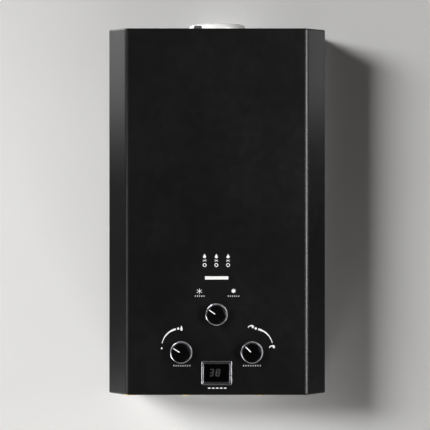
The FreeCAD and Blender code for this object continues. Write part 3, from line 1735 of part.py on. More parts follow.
doc.recompute()
check_pieces()
os.makedirs("parts", exist_ok=True)
for piece in pieces:
    piece.Shape.exportStep(f"parts/{piece.Label}.step")
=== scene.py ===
"""Looks of a wall-hung instant gas water heater: finishes, marks, dials, display, fittings and studio."""
import json
import logging
import math
from dataclasses import dataclass
from enum import Enum
from typing import Callable, Iterable, Sequence

import bmesh
import bpy
from mathutils import Matrix, Vector

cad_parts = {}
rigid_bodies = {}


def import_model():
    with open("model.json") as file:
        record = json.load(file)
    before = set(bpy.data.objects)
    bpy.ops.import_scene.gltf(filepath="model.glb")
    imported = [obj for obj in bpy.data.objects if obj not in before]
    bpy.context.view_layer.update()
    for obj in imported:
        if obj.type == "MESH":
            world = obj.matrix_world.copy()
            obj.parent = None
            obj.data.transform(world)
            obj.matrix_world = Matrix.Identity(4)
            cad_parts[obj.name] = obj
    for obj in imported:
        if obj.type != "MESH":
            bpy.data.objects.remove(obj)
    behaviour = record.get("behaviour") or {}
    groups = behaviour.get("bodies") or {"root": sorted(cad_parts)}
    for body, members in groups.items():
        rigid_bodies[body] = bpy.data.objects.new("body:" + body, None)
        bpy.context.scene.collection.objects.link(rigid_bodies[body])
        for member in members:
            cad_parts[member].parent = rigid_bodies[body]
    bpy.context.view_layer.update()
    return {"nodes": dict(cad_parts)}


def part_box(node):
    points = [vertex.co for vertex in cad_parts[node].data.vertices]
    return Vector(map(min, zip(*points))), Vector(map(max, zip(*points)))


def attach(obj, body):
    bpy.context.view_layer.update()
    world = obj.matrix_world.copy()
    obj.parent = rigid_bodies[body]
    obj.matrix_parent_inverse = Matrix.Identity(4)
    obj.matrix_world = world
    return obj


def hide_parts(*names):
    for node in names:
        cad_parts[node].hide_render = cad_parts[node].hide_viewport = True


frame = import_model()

MM = 0.001
FULL_TURN = 2 * math.pi
WELD_DISTANCE = 0.5 * MM * MM
FLAME_POINTS = 36
BLACK = (0.0, 0.0, 0.0)

Point = tuple[float, float]
Place = tuple[float, float, float]
Colour = tuple[float, float, float]
Ring = Callable[[float], Point]
Node = bpy.types.Node
Socket = bpy.types.NodeSocket
Piece = bpy.types.Object
Mesh = bmesh.types.BMesh

log = logging.getLogger("water_heater")


class Body(Enum):
    """Moving bodies of the heater."""

    CASE = "case"
    SEASON = "season_control"
    GAS = "gas_control"
    WATER = "water_control"
    DOOR = "door"
    STEM = "stem"
    LEVER = "lever"


class Grain(Enum):
    """Surface relief that a finish can have. The value names its node group."""

    PEEL = "paint_peel"
    CAST = "cast_skin"
    ROLLED = "rolled_lines"
    MOULDED = "moulded_skin"
    SPANGLE = "zinc_spangle"


class Axis(Enum):
    """Axes that a turned piece can stand on, as the matrix that takes Z to them."""

    UP = Matrix.Identity(4)
    RIGHT = Matrix.Rotation(math.radians(90), 4, "Y")
    LEFT = Matrix.Rotation(math.radians(-90), 4, "Y")
    FRONT = Matrix.Rotation(math.radians(90), 4, "X")


# Shader trees

class ShaderTree:
    """A node tree with short calls for adding and joining nodes."""

    def __init__(self, tree: bpy.types.NodeTree) -> None:
        """Takes over the tree and empties it."""
        self.tree = tree
        self.tree.nodes.clear()

    def add(self, kind: str, inputs: dict[str | int, object] | None = None, **settings: object) -> Node:
        """Adds a node.

        Args:
            kind: the node's class name.
            inputs: values or source sockets, by the name or number of the input.
            **settings: the node's own properties.

        Returns:
            The new node.
        """
        node = self.tree.nodes.new(kind)
        for key, value in settings.items():
            setattr(node, key, value)
        self.feed_all(node, inputs or {})
        return node

    def feed_all(self, node: Node, inputs: dict[str | int, object]) -> None:
        """Feeds several inputs of a node, by name or number."""
        for key, value in inputs.items():
            self.feed(node.inputs[key], value)

    def feed(self, socket: Socket, value: object) -> None:
        """Links the socket to a source socket, or sets its own value.

        Args:
            socket: the input to feed.
            value: a source socket, a colour or a plain value.
        """
        if isinstance(value, Socket):
            self.tree.links.new(value, socket)
        elif socket.type == "RGBA":
            socket.default_value = (*value, 1.0)
        else:
            socket.default_value = value

    def mix(self, share: object, first: object, second: object, mode: str = "MIX") -> Socket:
        """Mixes two colours.

        Args:
            share: value or socket of the second colour's share.
            first: first colour or socket.
            second: second colour or socket.
            mode: blend mode.

        Returns:
            The socket with the mixed colour.
        """
        inputs = {0: share, 6: first, 7: second}
        return self.add("ShaderNodeMix", inputs, data_type="RGBA", blend_type=mode).outputs[2]

    def sum_of(self, kind: str, first: object, second: object, clamp: bool = False) -> Socket:
        """Works out one arithmetic step.

        Args:
            kind: the operation, such as ADD or MULTIPLY.
            first: first value or socket.
            second: second value or socket.
            clamp: keeps the result between 0 and 1.

        Returns:
            The socket with the result.
        """
        return self.add("ShaderNodeMath", {0: first, 1: second}, operation=kind, use_clamp=clamp).outputs[0]

    def spread(
        self, value: object, low: float, high: float, to_low: object = 0.0, to_high: object = 1.0,
    ) -> Socket:
        """Maps a range onto another and clamps it.

        Args:
            value: value or socket to map.
            low: start of the range.
            high: end of the range.
            to_low: result at the start.
            to_high: result at the end.

        Returns:
            The socket with the mapped value.
        """
        inputs = dict(enumerate((value, low, high, to_low, to_high)))
        return self.add("ShaderNodeMapRange", inputs).outputs[0]

    def place(self) -> Socket:
        """Gives the place on the piece, in its own metres."""
        return self.add("ShaderNodeTexCoord").outputs["Object"]

    def rise(self, vector: Socket) -> Socket:
        """Gives the Z of a vector."""
        return self.add("ShaderNodeSeparateXYZ", {"Vector": vector}).outputs["Z"]

    def dot(self, first: Socket, second: object) -> Socket:
        """Gives the dot product of two vectors."""
        node = self.add("ShaderNodeVectorMath", {0: first, 1: second}, operation="DOT_PRODUCT")
        return node.outputs["Value"]

    def noise(self, scale: object, detail: float, stretch: Place = (1, 1, 1)) -> Socket:
        """Adds noise.

        Args:
            scale: cycles per metre, a value or a socket.
            detail: octaves.
            stretch: factor on each axis.

        Returns:
            The noise value's socket.
        """
        mapped = self.add("ShaderNodeMapping", {"Vector": self.place(), "Scale": stretch}).outputs[0]
        return self.add("ShaderNodeTexNoise", {"Vector": mapped, "Scale": scale, "Detail": detail}).outputs[0]

    def cells(self, scale: object) -> Node:
        """Adds a pattern of irregular cells and gives its node."""
        return self.add("ShaderNodeTexVoronoi", {"Vector": self.place(), "Scale": scale}, feature="F1")


class EffectLibrary:
    """Node groups that several finishes share. Each is built once, on first use.

    Scales are in cycles per metre, and ranges are the ends of a pattern's values that a mask spans.
    """

    COLOURS = ("Tone", "Shade", "Colour")
    CLOUD_RANGE = (0.35, 0.65)
    SCUFF_FACTOR = 9.0
    SCUFF_RANGE = (0.12, 0.4)
    EDGE_RANGE = (0.995, 0.9)
    CHIP_SCALE = 420.0
    CHIP_RANGE = (0.45, 0.62)
    UPWARD_RANGE = (0.4, 1.0)
    CLUMP_SCALE = 160.0
    CLUMP_RANGE = (0.3, 0.7)
    THIN_DUST = 0.3

    def new_group(self, name: str, inputs: Sequence[str], output: str) -> tuple:
        """Makes an empty group. Sockets whose names are in COLOURS carry colours, all others values.

        Args:
            name: the group's name.
            inputs: the inputs' names.
            output: the output's name.

        Returns:
            The shader tree, the group's inputs by name, and the socket that takes the result.
        """
        group = bpy.data.node_groups.new(name, "ShaderNodeTree")
        tree = ShaderTree(group)
        for label in (*inputs, output):
            side = "OUTPUT" if label == output else "INPUT"
            kind = "NodeSocketColor" if label in self.COLOURS else "NodeSocketFloat"
            group.interface.new_socket(name=label, in_out=side, socket_type=kind)
        return tree, tree.add("NodeGroupInput").outputs, tree.add("NodeGroupOutput").inputs[output]

    def build_tone_drift(self) -> None:
        """Slow cloudy change between two tones of one colour."""
        tree, given, result = self.new_group("tone_drift", ("Tone", "Shade", "Scale"), "Colour")
        share = tree.spread(tree.noise(given["Scale"], detail=3.0), *self.CLOUD_RANGE)
        tree.feed(result, tree.mix(share, given["Tone"], given["Shade"]))

    def build_gloss_drift(self) -> None:
        """Roughness that wanders between two values, with fine scuffs on top."""
        tree, given, result = self.new_group("gloss_drift", ("Low", "High", "Scale"), "Roughness")
        broad = tree.noise(given["Scale"], detail=2.0)
        fine = tree.noise(tree.sum_of("MULTIPLY", given["Scale"], self.SCUFF_FACTOR), detail=4.0)
        both = tree.sum_of("MULTIPLY", broad, fine)
        tree.feed(result, tree.spread(both, *self.SCUFF_RANGE, given["Low"], given["High"]))

    def build_edge_wear(self) -> None:
        """Mask of edges and corners, broken up by noise."""
        tree, given, result = self.new_group("edge_wear", ("Width", "Amount"), "Mask")
        soft = tree.add("ShaderNodeBevel", {"Radius": given["Width"]}, samples=4).outputs[0]
        hard = tree.add("ShaderNodeNewGeometry").outputs["Normal"]
        chips = tree.spread(tree.noise(self.CHIP_SCALE, detail=4.0), *self.CHIP_RANGE)
        broken = tree.sum_of("MULTIPLY", tree.spread(tree.dot(soft, hard), *self.EDGE_RANGE), chips)
        tree.feed(result, tree.sum_of("MULTIPLY", broken, given["Amount"], clamp=True))

    def build_dust(self) -> None:
        """Mask of faces that look up, where fine dust settles."""
        tree, given, result = self.new_group("settled_dust", ("Amount",), "Mask")
        normal = tree.add("ShaderNodeNewGeometry").outputs["Normal"]
        clumps = tree.spread(tree.noise(self.CLUMP_SCALE, detail=5.0), *self.CLUMP_RANGE, self.THIN_DUST)
        film = tree.sum_of("MULTIPLY", tree.spread(tree.rise(normal), *self.UPWARD_RANGE), clumps)
        tree.feed(result, tree.sum_of("MULTIPLY", film, given["Amount"], clamp=True))

    def build_relief(self, grain: Grain) -> None:
        """Height pattern of one kind of surface.

        Args:
            grain: the kind of surface.
        """
        tree, given, result = self.new_group(grain.value, ("Scale",), "Height")
        scale = given["Scale"]
        if grain is Grain.PEEL:
            height = tree.noise(scale, detail=1.0)
        elif grain is Grain.CAST:
            pits = tree.cells(scale).outputs["Distance"]
            height = tree.sum_of("ADD", pits, tree.noise(scale, detail=6.0))
        elif grain is Grain.ROLLED:
            height = tree.noise(scale, detail=3.0, stretch=(1.0, 1.0, 0.02))
        elif grain is Grain.SPANGLE:
            height = tree.cells(scale).outputs["Color"]
        else:
            height = tree.noise(scale, detail=8.0)
        tree.feed(result, height)

    def use(self, tree: ShaderTree, name: str, **inputs: object) -> Socket:
        """Places a group in a tree.

        Args:
            tree: the material's tree.
            name: the group's name.
            **inputs: values or sockets, by the names of the group's inputs.

        Returns:
            The group's first output.
        """
        if name not in bpy.data.node_groups:
            builders = {
                "tone_drift": self.build_tone_drift,
                "gloss_drift": self.build_gloss_drift,
                "edge_wear": self.build_edge_wear,
                "settled_dust": self.build_dust,
            }
            if name in builders:
                builders[name]()
            else:
                self.build_relief(Grain(name))
        node = tree.add("ShaderNodeGroup", node_tree=bpy.data.node_groups[name])
        for label, value in inputs.items():
            tree.feed(node.inputs[label], value)
        return node.outputs[0]


EFFECTS = EffectLibrary()


# Finishes

def open_material(title: str) -> tuple[bpy.types.Material, ShaderTree]:
    """Makes a material.

    Args:
        title: its name.

    Returns:
        The material and its emptied tree.
    """
    material = bpy.data.materials.new(title)
    material.use_nodes = True
    return material, ShaderTree(material.node_tree)


@dataclass(frozen=True)
class Surface:
    """What a piece can be dressed in. The dress method of each kind feeds the shader."""

    name: str

    def build(self) -> bpy.types.Material:
        """Builds the material once.

        Returns:
            The material.
        """
        title = f"{self.name}_finish"
        if title in bpy.data.materials:
            return bpy.data.materials[title]
        material, tree = open_material(title)
        shader = tree.add("ShaderNodeBsdfPrincipled")
        tree.add("ShaderNodeOutputMaterial", {"Surface": shader.outputs[0]})
        self.dress(tree, shader)
        return material


@dataclass(frozen=True)
class Finish(Surface):
    """One opaque finish.

    tone and shade are its two linear colours, rough its least and greatest roughness. relief is the
    grain's depth and wear_width the width of worn edges, both in millimetres. grain_scale is in cycles
    per metre. nodes names the construction nodes that wear it. glow is emission in the tone: on the
    display figures it is their own light, and on the flue collar and the sight window it is painted light.
    """

    tone: Colour
    shade: Colour
    rough: tuple[float, float]
    grain: Grain = Grain.MOULDED
    grain_scale: float = 1500.0
    relief: float = 0.02
    metal: float = 0.0
    drift_scale: float = 25.0
    coat: float = 0.0
    specular: float = 0.5
    wear: float = 0.0
    wear_tone: Colour = (0.3, 0.3, 0.3)
    wear_width: float = 0.7
    dust: float = 0.0
    dust_tone: Colour = (0.36, 0.34, 0.31)
    glow: float = 0.0
    bump_strength: float = 0.6
    coat_rough: float = 0.08
    nodes: tuple[str, ...] = ()

    def dress(self, tree: ShaderTree, shader: Node) -> None:
        """Feeds the shader from the shared effects.

        Args:
            tree: the material's tree.
            shader: its Principled shader.
        """
        colour = EFFECTS.use(tree, "tone_drift", Tone=self.tone, Shade=self.shade, Scale=self.drift_scale)
        if self.wear:
            mask = EFFECTS.use(tree, "edge_wear", Width=self.wear_width * MM, Amount=self.wear)
            colour = tree.mix(mask, colour, self.wear_tone)
        if self.dust:
            film = EFFECTS.use(tree, "settled_dust", Amount=self.dust)
            colour = tree.mix(film, colour, self.dust_tone)
        low, high = self.rough
        height = EFFECTS.use(tree, self.grain.value, Scale=self.grain_scale)
        relief = {"Height": height, "Distance": self.relief * MM, "Strength": self.bump_strength}
        tree.feed_all(shader, {
            "Base Color": colour,
            "Roughness": EFFECTS.use(tree, "gloss_drift", Low=low, High=high, Scale=self.drift_scale),
            "Normal": tree.add("ShaderNodeBump", relief).outputs[0],
            "Metallic": self.metal,
            "Specular IOR Level": self.specular,
            "Coat Weight": self.coat,
            "Coat Roughness": self.coat_rough,
        })
        # Emission: the display figures' own light, and painted light on the flue collar and the sight window.
        if self.glow:
            tree.feed_all(shader, {"Emission Strength": self.glow, "Emission Color": self.tone})


@dataclass(frozen=True)
class CellFinish(Finish):
    """Printed jacket of a round cell, with bare metal at both ends. Heights are in millimetres."""

    low: float = 0.0
    high: float = 0.0
    rim: float = 1.6
    band: float = 17.0
    band_tone: Colour = (0.02, 0.09, 0.22)
    steel: Colour = (0.62, 0.62, 0.6)

    def dress(self, tree: ShaderTree, shader: Node) -> None:
        """Adds the jacket's band and the bare ends to the plain finish.

        Args:
            tree: the material's tree.
            shader: its Principled shader.
        """
        super().dress(tree, shader)
        level = tree.rise(tree.place())
        jacket = shader.inputs["Base Color"].links[0].from_socket
        in_band = tree.sum_of("GREATER_THAN", level, (self.high - self.band) * MM)
        printed = tree.mix(in_band, jacket, self.band_tone)
        above = tree.sum_of("GREATER_THAN", level, (self.high - self.rim) * MM)
        below = tree.sum_of("LESS_THAN", level, (self.low + self.rim) * MM)
        bare = tree.sum_of("MAXIMUM", above, below)
        tree.feed_all(shader, {"Base Color": tree.mix(bare, printed, self.steel), "Metallic": bare})


@dataclass(frozen=True)
class ZincFinish(Finish):
    """Hot-dipped zinc whose flat crystals each catch the light in their own way."""

    crystal_scale: float = 85.0
    contrast: float = 0.5
    crystal_tone: Colour = (0.5, 0.515, 0.53)
    crystal_gloss: float = 0.2
    crystal_range: tuple[float, float] = (0.2, 0.8)

    def dress(self, tree: ShaderTree, shader: Node) -> None:
        """Lays the crystals over the plain finish.

        Args:
            tree: the material's tree.
            shader: its Principled shader.
        """
        super().dress(tree, shader)
        plain, gloss = (shader.inputs[label].links[0].from_socket for label in ("Base Color", "Roughness"))
        crystal = EFFECTS.use(tree, Grain.SPANGLE.value, Scale=self.crystal_scale)
        share = tree.spread(crystal, *self.crystal_range, 0.0, self.contrast)
        sheen = tree.sum_of("MULTIPLY", share, self.crystal_gloss)
        tree.feed_all(shader, {
            "Base Color": tree.mix(share, plain, self.crystal_tone),
            "Roughness": tree.sum_of("SUBTRACT", gloss, sheen),
        })


@dataclass(frozen=True)
class GlassFinish(Surface):
    """Clear or smoked pane."""

    tint: Colour
    rough: float = 0.004
    ior: float = 1.47
    smear_scale: float = 60.0

    def dress(self, tree: ShaderTree, shader: Node) -> None:
        """Feeds the shader.

        Args:
            tree: the material's tree.
            shader: its Principled shader.
        """
        smear = EFFECTS.use(tree, "gloss_drift", Low=self.rough, High=self.rough * 3, Scale=self.smear_scale)
        tree.feed_all(shader, {
            "Roughness": smear,
            "Base Color": self.tint,
            "Transmission Weight": 1.0,
            "IOR": self.ior,
        })


SCREW_STEEL = Finish(
    "screw_steel", (0.05, 0.05, 0.055), (0.09, 0.09, 0.095), (0.25, 0.4), relief=0.01, metal=1.0, wear=0.6,
    wear_tone=(0.5, 0.5, 0.5), nodes=("cover_screws", "plate_screws"),
)
BRASS = Finish(
    "brass", (0.66, 0.47, 0.18), (0.5, 0.33, 0.12), (0.18, 0.36), Grain.MOULDED, 1200.0, 0.012, metal=1.0,
    drift_scale=70.0, wear=0.5, wear_tone=(0.86, 0.7, 0.4),
    nodes=(
        "injector_nozzles", "water_valve_cover", "water_valve_body", "relief_valve", "hot_connector",
        "gas_connector", "cold_connector",
    ),
)
SMOKED_GLASS = GlassFinish("display_glass", (0.12, 0.12, 0.125), ior=1.18)
DIGIT_LIGHT = Finish(
    "digit_light", (0.2, 0.2, 0.2), (0.17, 0.17, 0.17), (0.5, 0.6), relief=0.005, glow=3.4,
)
TRIM_CHROME = Finish(
    "trim_chrome", (0.085, 0.085, 0.089), (0.065, 0.065, 0.069), (0.22, 0.32), Grain.ROLLED, 1500.0, 0.002,
    metal=1.0,
)
PANEL_INK = Finish(
    "panel_ink", (0.97, 0.97, 0.97), (0.94, 0.94, 0.94), (0.45, 0.6), Grain.MOULDED, 2200.0, 0.008,
)
SOFT_INK = Finish(
    "soft_panel_ink", (0.6, 0.6, 0.6), (0.5, 0.5, 0.5), (0.45, 0.6), Grain.MOULDED, 2200.0, 0.008,
)

NODE_FINISHES: tuple[Finish, ...] = (
    Finish(
        "case_paint", (0.0026, 0.0026, 0.0028), (0.0034, 0.0034, 0.0036), (0.32, 0.38), Grain.PEEL, 650.0,
        0.012, drift_scale=9.0, specular=0.055, wear=0.06, wear_tone=(0.03, 0.03, 0.03), dust=0.02,
        nodes=("front_cover",),
    ),
    ZincFinish(
        "galvanised_sheet", (0.33, 0.335, 0.345), (0.27, 0.28, 0.295), (0.46, 0.6), Grain.SPANGLE, 85.0,
        0.004, metal=1.0, drift_scale=60.0, dust=0.15,
        nodes=("back_plate", "bottom_plate", "draft_hood", "chamber_brackets", "switch_bracket"),
    ),
    Finish(
        "clip_steel", (0.03, 0.03, 0.033), (0.05, 0.05, 0.052), (0.3, 0.5), Grain.ROLLED, 900.0, 0.01,
        metal=0.6, wear=0.4, nodes=("cover_clip",),
    ),
    SCREW_STEEL,
    # The flue collar's glow is painted light: it makes the white enamel look evenly lit and whiter than the
    # lamps alone make it.
    Finish(
        "flue_enamel", (0.93, 0.93, 0.92), (0.88, 0.88, 0.86), (0.35, 0.5), Grain.PEEL, 500.0, 0.02,
        wear=0.3, wear_tone=(0.3, 0.28, 0.26), dust=0.03, glow=0.1, nodes=("flue_collar",),
    ),
    Finish(
        "copper", (0.72, 0.3, 0.17), (0.42, 0.15, 0.09), (0.2, 0.42), Grain.ROLLED, 700.0, 0.01, metal=1.0,
        drift_scale=35.0, wear=0.3, wear_tone=(0.85, 0.48, 0.32),
        nodes=("combustion_chamber", "fin_pack", "exchanger_tube", "chamber_coil", "cold_pipe", "hot_pipe"),
    ),
    Finish(
        "burner_steel", (0.46, 0.45, 0.44), (0.34, 0.31, 0.29), (0.3, 0.5), Grain.ROLLED, 800.0, 0.015,
        metal=1.0, drift_scale=40.0, nodes=("burner_tray", "burner_bars"),
    ),
    Finish(
        "cast_aluminium", (0.55, 0.56, 0.57), (0.42, 0.43, 0.44), (0.42, 0.62), Grain.CAST, 900.0, 0.06,
        metal=1.0, drift_scale=50.0, wear=0.5, wear_tone=(0.78, 0.79, 0.8),
        nodes=("gas_valve_body", "gas_valve_cap", "season_valve", "gas_pipe", "injector_manifold"),
    ),
    BRASS,
    Finish(
        "electrode_ceramic", (0.78, 0.75, 0.69), (0.68, 0.64, 0.58), (0.2, 0.4), Grain.MOULDED, 1300.0,
        0.02, coat=0.3, nodes=("spark_electrode", "flame_sensor"),
    ),
    Finish(
        "valve_rubber", (0.016, 0.016, 0.017), (0.026, 0.026, 0.027), (0.6, 0.8), Grain.MOULDED, 1600.0,
        0.03, nodes=("gas_valve_disc", "diaphragm"),
    ),
    Finish(
        "coil_plastic", (0.05, 0.05, 0.055), (0.066, 0.066, 0.074), (0.35, 0.5),
        nodes=("safety_solenoid", "temperature_probe", "overheat_thermostat"),
    ),
    Finish(
        "stem_steel", (0.6, 0.6, 0.59), (0.48, 0.48, 0.48), (0.16, 0.3), relief=0.006, metal=1.0,
        nodes=("link_stem", "microswitch_lever", "spindle_season", "spindle_gas", "spindle_water"),
    ),
    Finish(
        "switch_plastic", (0.02, 0.02, 0.021), (0.03, 0.03, 0.031), (0.4, 0.55), nodes=("microswitch",),
    ),
    Finish(
        "igniter_plastic", (0.035, 0.037, 0.04), (0.05, 0.052, 0.055), (0.4, 0.6), Grain.CAST, 1500.0,
        0.03, nodes=("pulse_igniter",),
    ),
    Finish(
        "box_plastic", (0.034, 0.034, 0.035), (0.044, 0.044, 0.045), (0.38, 0.52), Grain.CAST, 1700.0,
        0.025, wear=0.25, wear_tone=(0.12, 0.12, 0.12), nodes=("battery_box", "battery_door"),
    ),
    Finish(
        "display_frame", (0.002, 0.002, 0.0022), (0.003, 0.003, 0.0032), (0.16, 0.24), relief=0.006,
        specular=0.22, nodes=("display_bezel",),
    ),
    Finish(
        "display_back", (0.003, 0.003, 0.003), (0.004, 0.004, 0.004), (0.4, 0.6), relief=0.01,
        specular=0.1, nodes=("display_module",),
    ),
    # The sight window's glow is painted light: it makes the pane read pure white though nothing behind it is
    # lit.
    Finish(
        "sight_glass", (0.95, 0.95, 0.94), (0.92, 0.92, 0.91), (0.2, 0.35), Grain.MOULDED, 1200.0, 0.01,
        coat=0.2, glow=0.2, nodes=("sight_window",),
    ),
    Finish(
        "lead_silicone", (0.5, 0.06, 0.04), (0.42, 0.05, 0.035), (0.45, 0.6),
        nodes=("spark_lead", "sensor_lead"),
    ),
    Finish(
        "knob_plastic", (0.0012, 0.0012, 0.0013), (0.0017, 0.0017, 0.0018), (0.2, 0.3), Grain.MOULDED,
        1800.0, 0.008, specular=0.03, nodes=("knob_season", "knob_gas", "knob_water"),
    ),
    Finish(
        "knob_chrome", (0.22, 0.22, 0.23), (0.18, 0.18, 0.195), (0.3, 0.4), Grain.ROLLED, 1500.0, 0.002,
        metal=1.0, nodes=("ring_season", "ring_gas", "ring_water"),
    ),
)


# Mesh building

def carry(piece: Piece, body: Body, finish: Surface) -> Piece:
    """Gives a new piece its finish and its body.

    Args:
        piece: the new object.
        body: the body that it moves with.
        finish: its finish.

    Returns:
        The same object.
    """
    piece.data.materials.append(finish.build())
    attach(piece, body.value)
    return piece


def piece_from(mesh: Mesh, name: str, smooth_angle: float = 32.0) -> Piece:
    """Turns an edited mesh into an object with tidy normals.

    Args:
        mesh: the mesh, which is freed.
        name: the piece's name.
        smooth_angle: edges sharper than this, in degrees, stay hard.

    Returns:
        The new object.
    """
    bmesh.ops.remove_doubles(mesh, verts=mesh.verts, dist=WELD_DISTANCE)
    bmesh.ops.recalc_face_normals(mesh, faces=mesh.faces)
    data = bpy.data.meshes.new(name)
    mesh.to_mesh(data)
    mesh.free()
    data.shade_smooth()
    data.set_sharp_from_angle(angle=math.radians(smooth_angle))
    return add_to_scene(name, data)


def add_to_scene(name: str, data: bpy.types.ID) -> Piece:
    """Adds an object to the scene.

    Args:
        name: its name.
        data: its mesh, light or camera.

    Returns:
        The object.
    """
    thing = bpy.data.objects.new(name, data)
    bpy.context.scene.collection.objects.link(thing)
    return thing


def join(mesh: Mesh, near: Sequence, far: Sequence) -> None:
    """Joins two closed loops by faces.

    Args:
        mesh: the mesh that has them.
        near: the first loop's vertices.
        far: as many vertices of the second loop.
    """
    for place in range(len(near)):
        after = (place + 1) % len(near)
        mesh.faces.new((near[place], near[after], far[after], far[place]))


def skin(mesh: Mesh, rows: Sequence[Sequence], closed: bool) -> None:
    """Joins loops of vertices in order.

    Args:
        mesh: the mesh that has them.
        rows: the loops, each with the same number of vertices.
        closed: joins the last loop to the first, and otherwise caps both ends.
    """
    for near, far in zip(rows, rows[1:]):
        join(mesh, near, far)
    if closed:
        join(mesh, rows[-1], rows[0])
    else:
        mesh.faces.new(rows[0][::-1])
        mesh.faces.new(rows[-1])


def lathe(mesh: Mesh, rings: Sequence[Ring], columns: int, stand: Matrix, closed: bool) -> None:
    """Adds a turned skin whose rings may vary round the axis.

    Args:
        mesh: the mesh to add to, in metres.
        rings: functions from an angle to radius and height, in millimetres, in order along the skin.
        columns: faces round the axis.
        stand: matrix that takes the local Z axis to its place, in metres.
        closed: joins the last ring to the first, and otherwise caps both ends.
    """
    rows = []
    for ring in rings:
        row = []
        for column in range(columns):
            turn = FULL_TURN * column / columns
            radius, height = ring(turn)
            local = Vector((radius * math.cos(turn), radius * math.sin(turn), height)) * MM
            row.append(mesh.verts.new(stand @ local))
        rows.append(row)
    skin(mesh, rows, closed)


def steady(radius: float, height: float) -> Ring:
    """Gives a plain round ring."""
    return lambda turn: (radius, height)


class PrintSheet:
    """Flat raised marks on a face square to Y, gathered in one mesh. Places are x and z in millimetres."""

    def __init__(self, face: float, thickness: float = 0.05) -> None:
        """Starts an empty sheet.

        Args:
            face: the y of the face that carries the marks, in millimetres.
            thickness: how far the marks stand out, in millimetres.
        """
        self.mesh = bmesh.new()
        self.back = face * MM
        self.front = (face - thickness) * MM

    def loop(self, outline: Sequence[Point], y: float) -> list:
        """Adds the outline's vertices at one depth and gives them."""
        return [self.mesh.verts.new((x * MM, y, z * MM)) for x, z in outline]

    def patch(self, outline: Sequence[Point]) -> None:
        """Adds a filled mark.

        Args:
            outline: its outline.
        """
        near, far = self.loop(outline, self.front), self.loop(outline, self.back)
        self.mesh.faces.new(near)
        self.mesh.faces.new(far[::-1])
        join(self.mesh, near, far)

    def band(self, outer: Sequence[Point], inner: Sequence[Point]) -> None:
        """Adds a closed ring.

        Args:
            outer: its outer outline.
            inner: its inner outline, with as many points.
        """
        near_outer, near_inner = self.loop(outer, self.front), self.loop(inner, self.front)
        far_outer, far_inner = self.loop(outer, self.back), self.loop(inner, self.back)
        join(self.mesh, near_outer, near_inner)
        join(self.mesh, far_outer, far_inner)
        join(self.mesh, near_outer, far_outer)
        join(self.mesh, near_inner, far_inner)

    def piece(self, name: str, body: Body, finish: Finish, slot: str | None = None) -> Piece:
        """Turns the marks into one piece on a body."""
        return carry(piece_from(self.mesh, name), body, finish)


def polar(centre: Point, radius: float, turn: float) -> Point:
    """Gives the point at a radius and an angle from a centre."""
    return centre[0] + radius * math.cos(turn), centre[1] + radius * math.sin(turn)


def circle(centre: Point, radius: float, count: int = 40) -> list[Point]:
    """Gives the points of a circle."""
    return [polar(centre, radius, FULL_TURN * place / count) for place in range(count)]


def bar(start: Point, end: Point, width: float, cap: int = 6) -> list[Point]:
    """Gives the outline of a bar with round ends.

    Args:
        start: middle of the first end.
        end: middle of the last end.
        width: its width.
        cap: steps round each end.

    Returns:
        The outline's points.
    """
    heading = math.atan2(end[1] - start[1], end[0] - start[0])
    points = []
    for middle, begin in ((end, heading - math.pi / 2), (start, heading + math.pi / 2)):
        points += [polar(middle, width / 2, begin + math.pi * step / cap) for step in range(cap + 1)]
    return points


def teardrop(foot: Point, width: float, height: float, pinch: float = 1.6, span: float = 1.3) -> list[Point]:
    """Gives the outline of a flame or drop that stands on its round end.

    Args:
        foot: its lowest point.
        width: its greatest width.
        height: its height.
        pinch: how much its top narrows.
        span: the curve's own width at that pinch.

    Returns:
        The outline's points.
    """
    points = []
    for place in range(FLAME_POINTS):
        turn = FULL_TURN * place / FLAME_POINTS
        across = width / span * math.sin(turn) * math.sin(turn / 2) ** pinch
        points.append((foot[0] + across, foot[1] + height / 2 * (1 + math.cos(turn))))
    return points


def star(centre: Point, arms: int, reach: Point, width: float, first_turn: float) -> list[Point]:
    """Gives the outline of crossed bars.

    Args:
        centre: middle of the star.
        arms: number of arms.
        reach: length of the arms across and up.
        width: width of an arm.
        first_turn: angle of the first arm, in degrees.

    Returns:
        The outline's points.
    """
    points = []
    notch = width / 2 / math.sin(math.pi / arms)
    for arm in range(arms):
        turn = math.radians(first_turn) + FULL_TURN * arm / arms
        along = Vector((math.cos(turn), math.sin(turn)))
        across = Vector((-along.y, along.x)) * width / 2
        for side in (-1, 1):
            x = centre[0] + along.x * reach[0] + side * across.x
            points.append((x, centre[1] + along.y * reach[1] + side * across.y))
        points.append(polar(centre, notch, turn + math.pi / arms))
    return points


def sweep(centre: Point, radius: float, turns: Point, widths: Point, count: int = 40) -> list[Point]:
    """Gives the outline of a tapered stroke along an arc.

    Args:
        centre: the arc's centre.
        radius: the arc's middle radius.
        turns: first and last angle in degrees.
        widths: stroke width at the start and at the end.
        count: steps along the arc.

    Returns:
        The outline's points.
    """
    outer, inner = [], []
    for step in range(count + 1):
        share = step / count
        turn = math.radians(turns[0] + (turns[1] - turns[0]) * share)
        half = (widths[0] + (widths[1] - widths[0]) * share) / 2
        outer.append(polar(centre, radius + half, turn))
        inner.append(polar(centre, radius - half, turn))
    return outer + inner[::-1]


def front_middle(node: str) -> Vector:
    """Gives the middle of a node's box as seen from the front, at y 0 and in metres."""
    low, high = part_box(node)
    return Vector((low[0] + high[0], 0.0, low[2] + high[2])) / 2


# Sub-assemblies

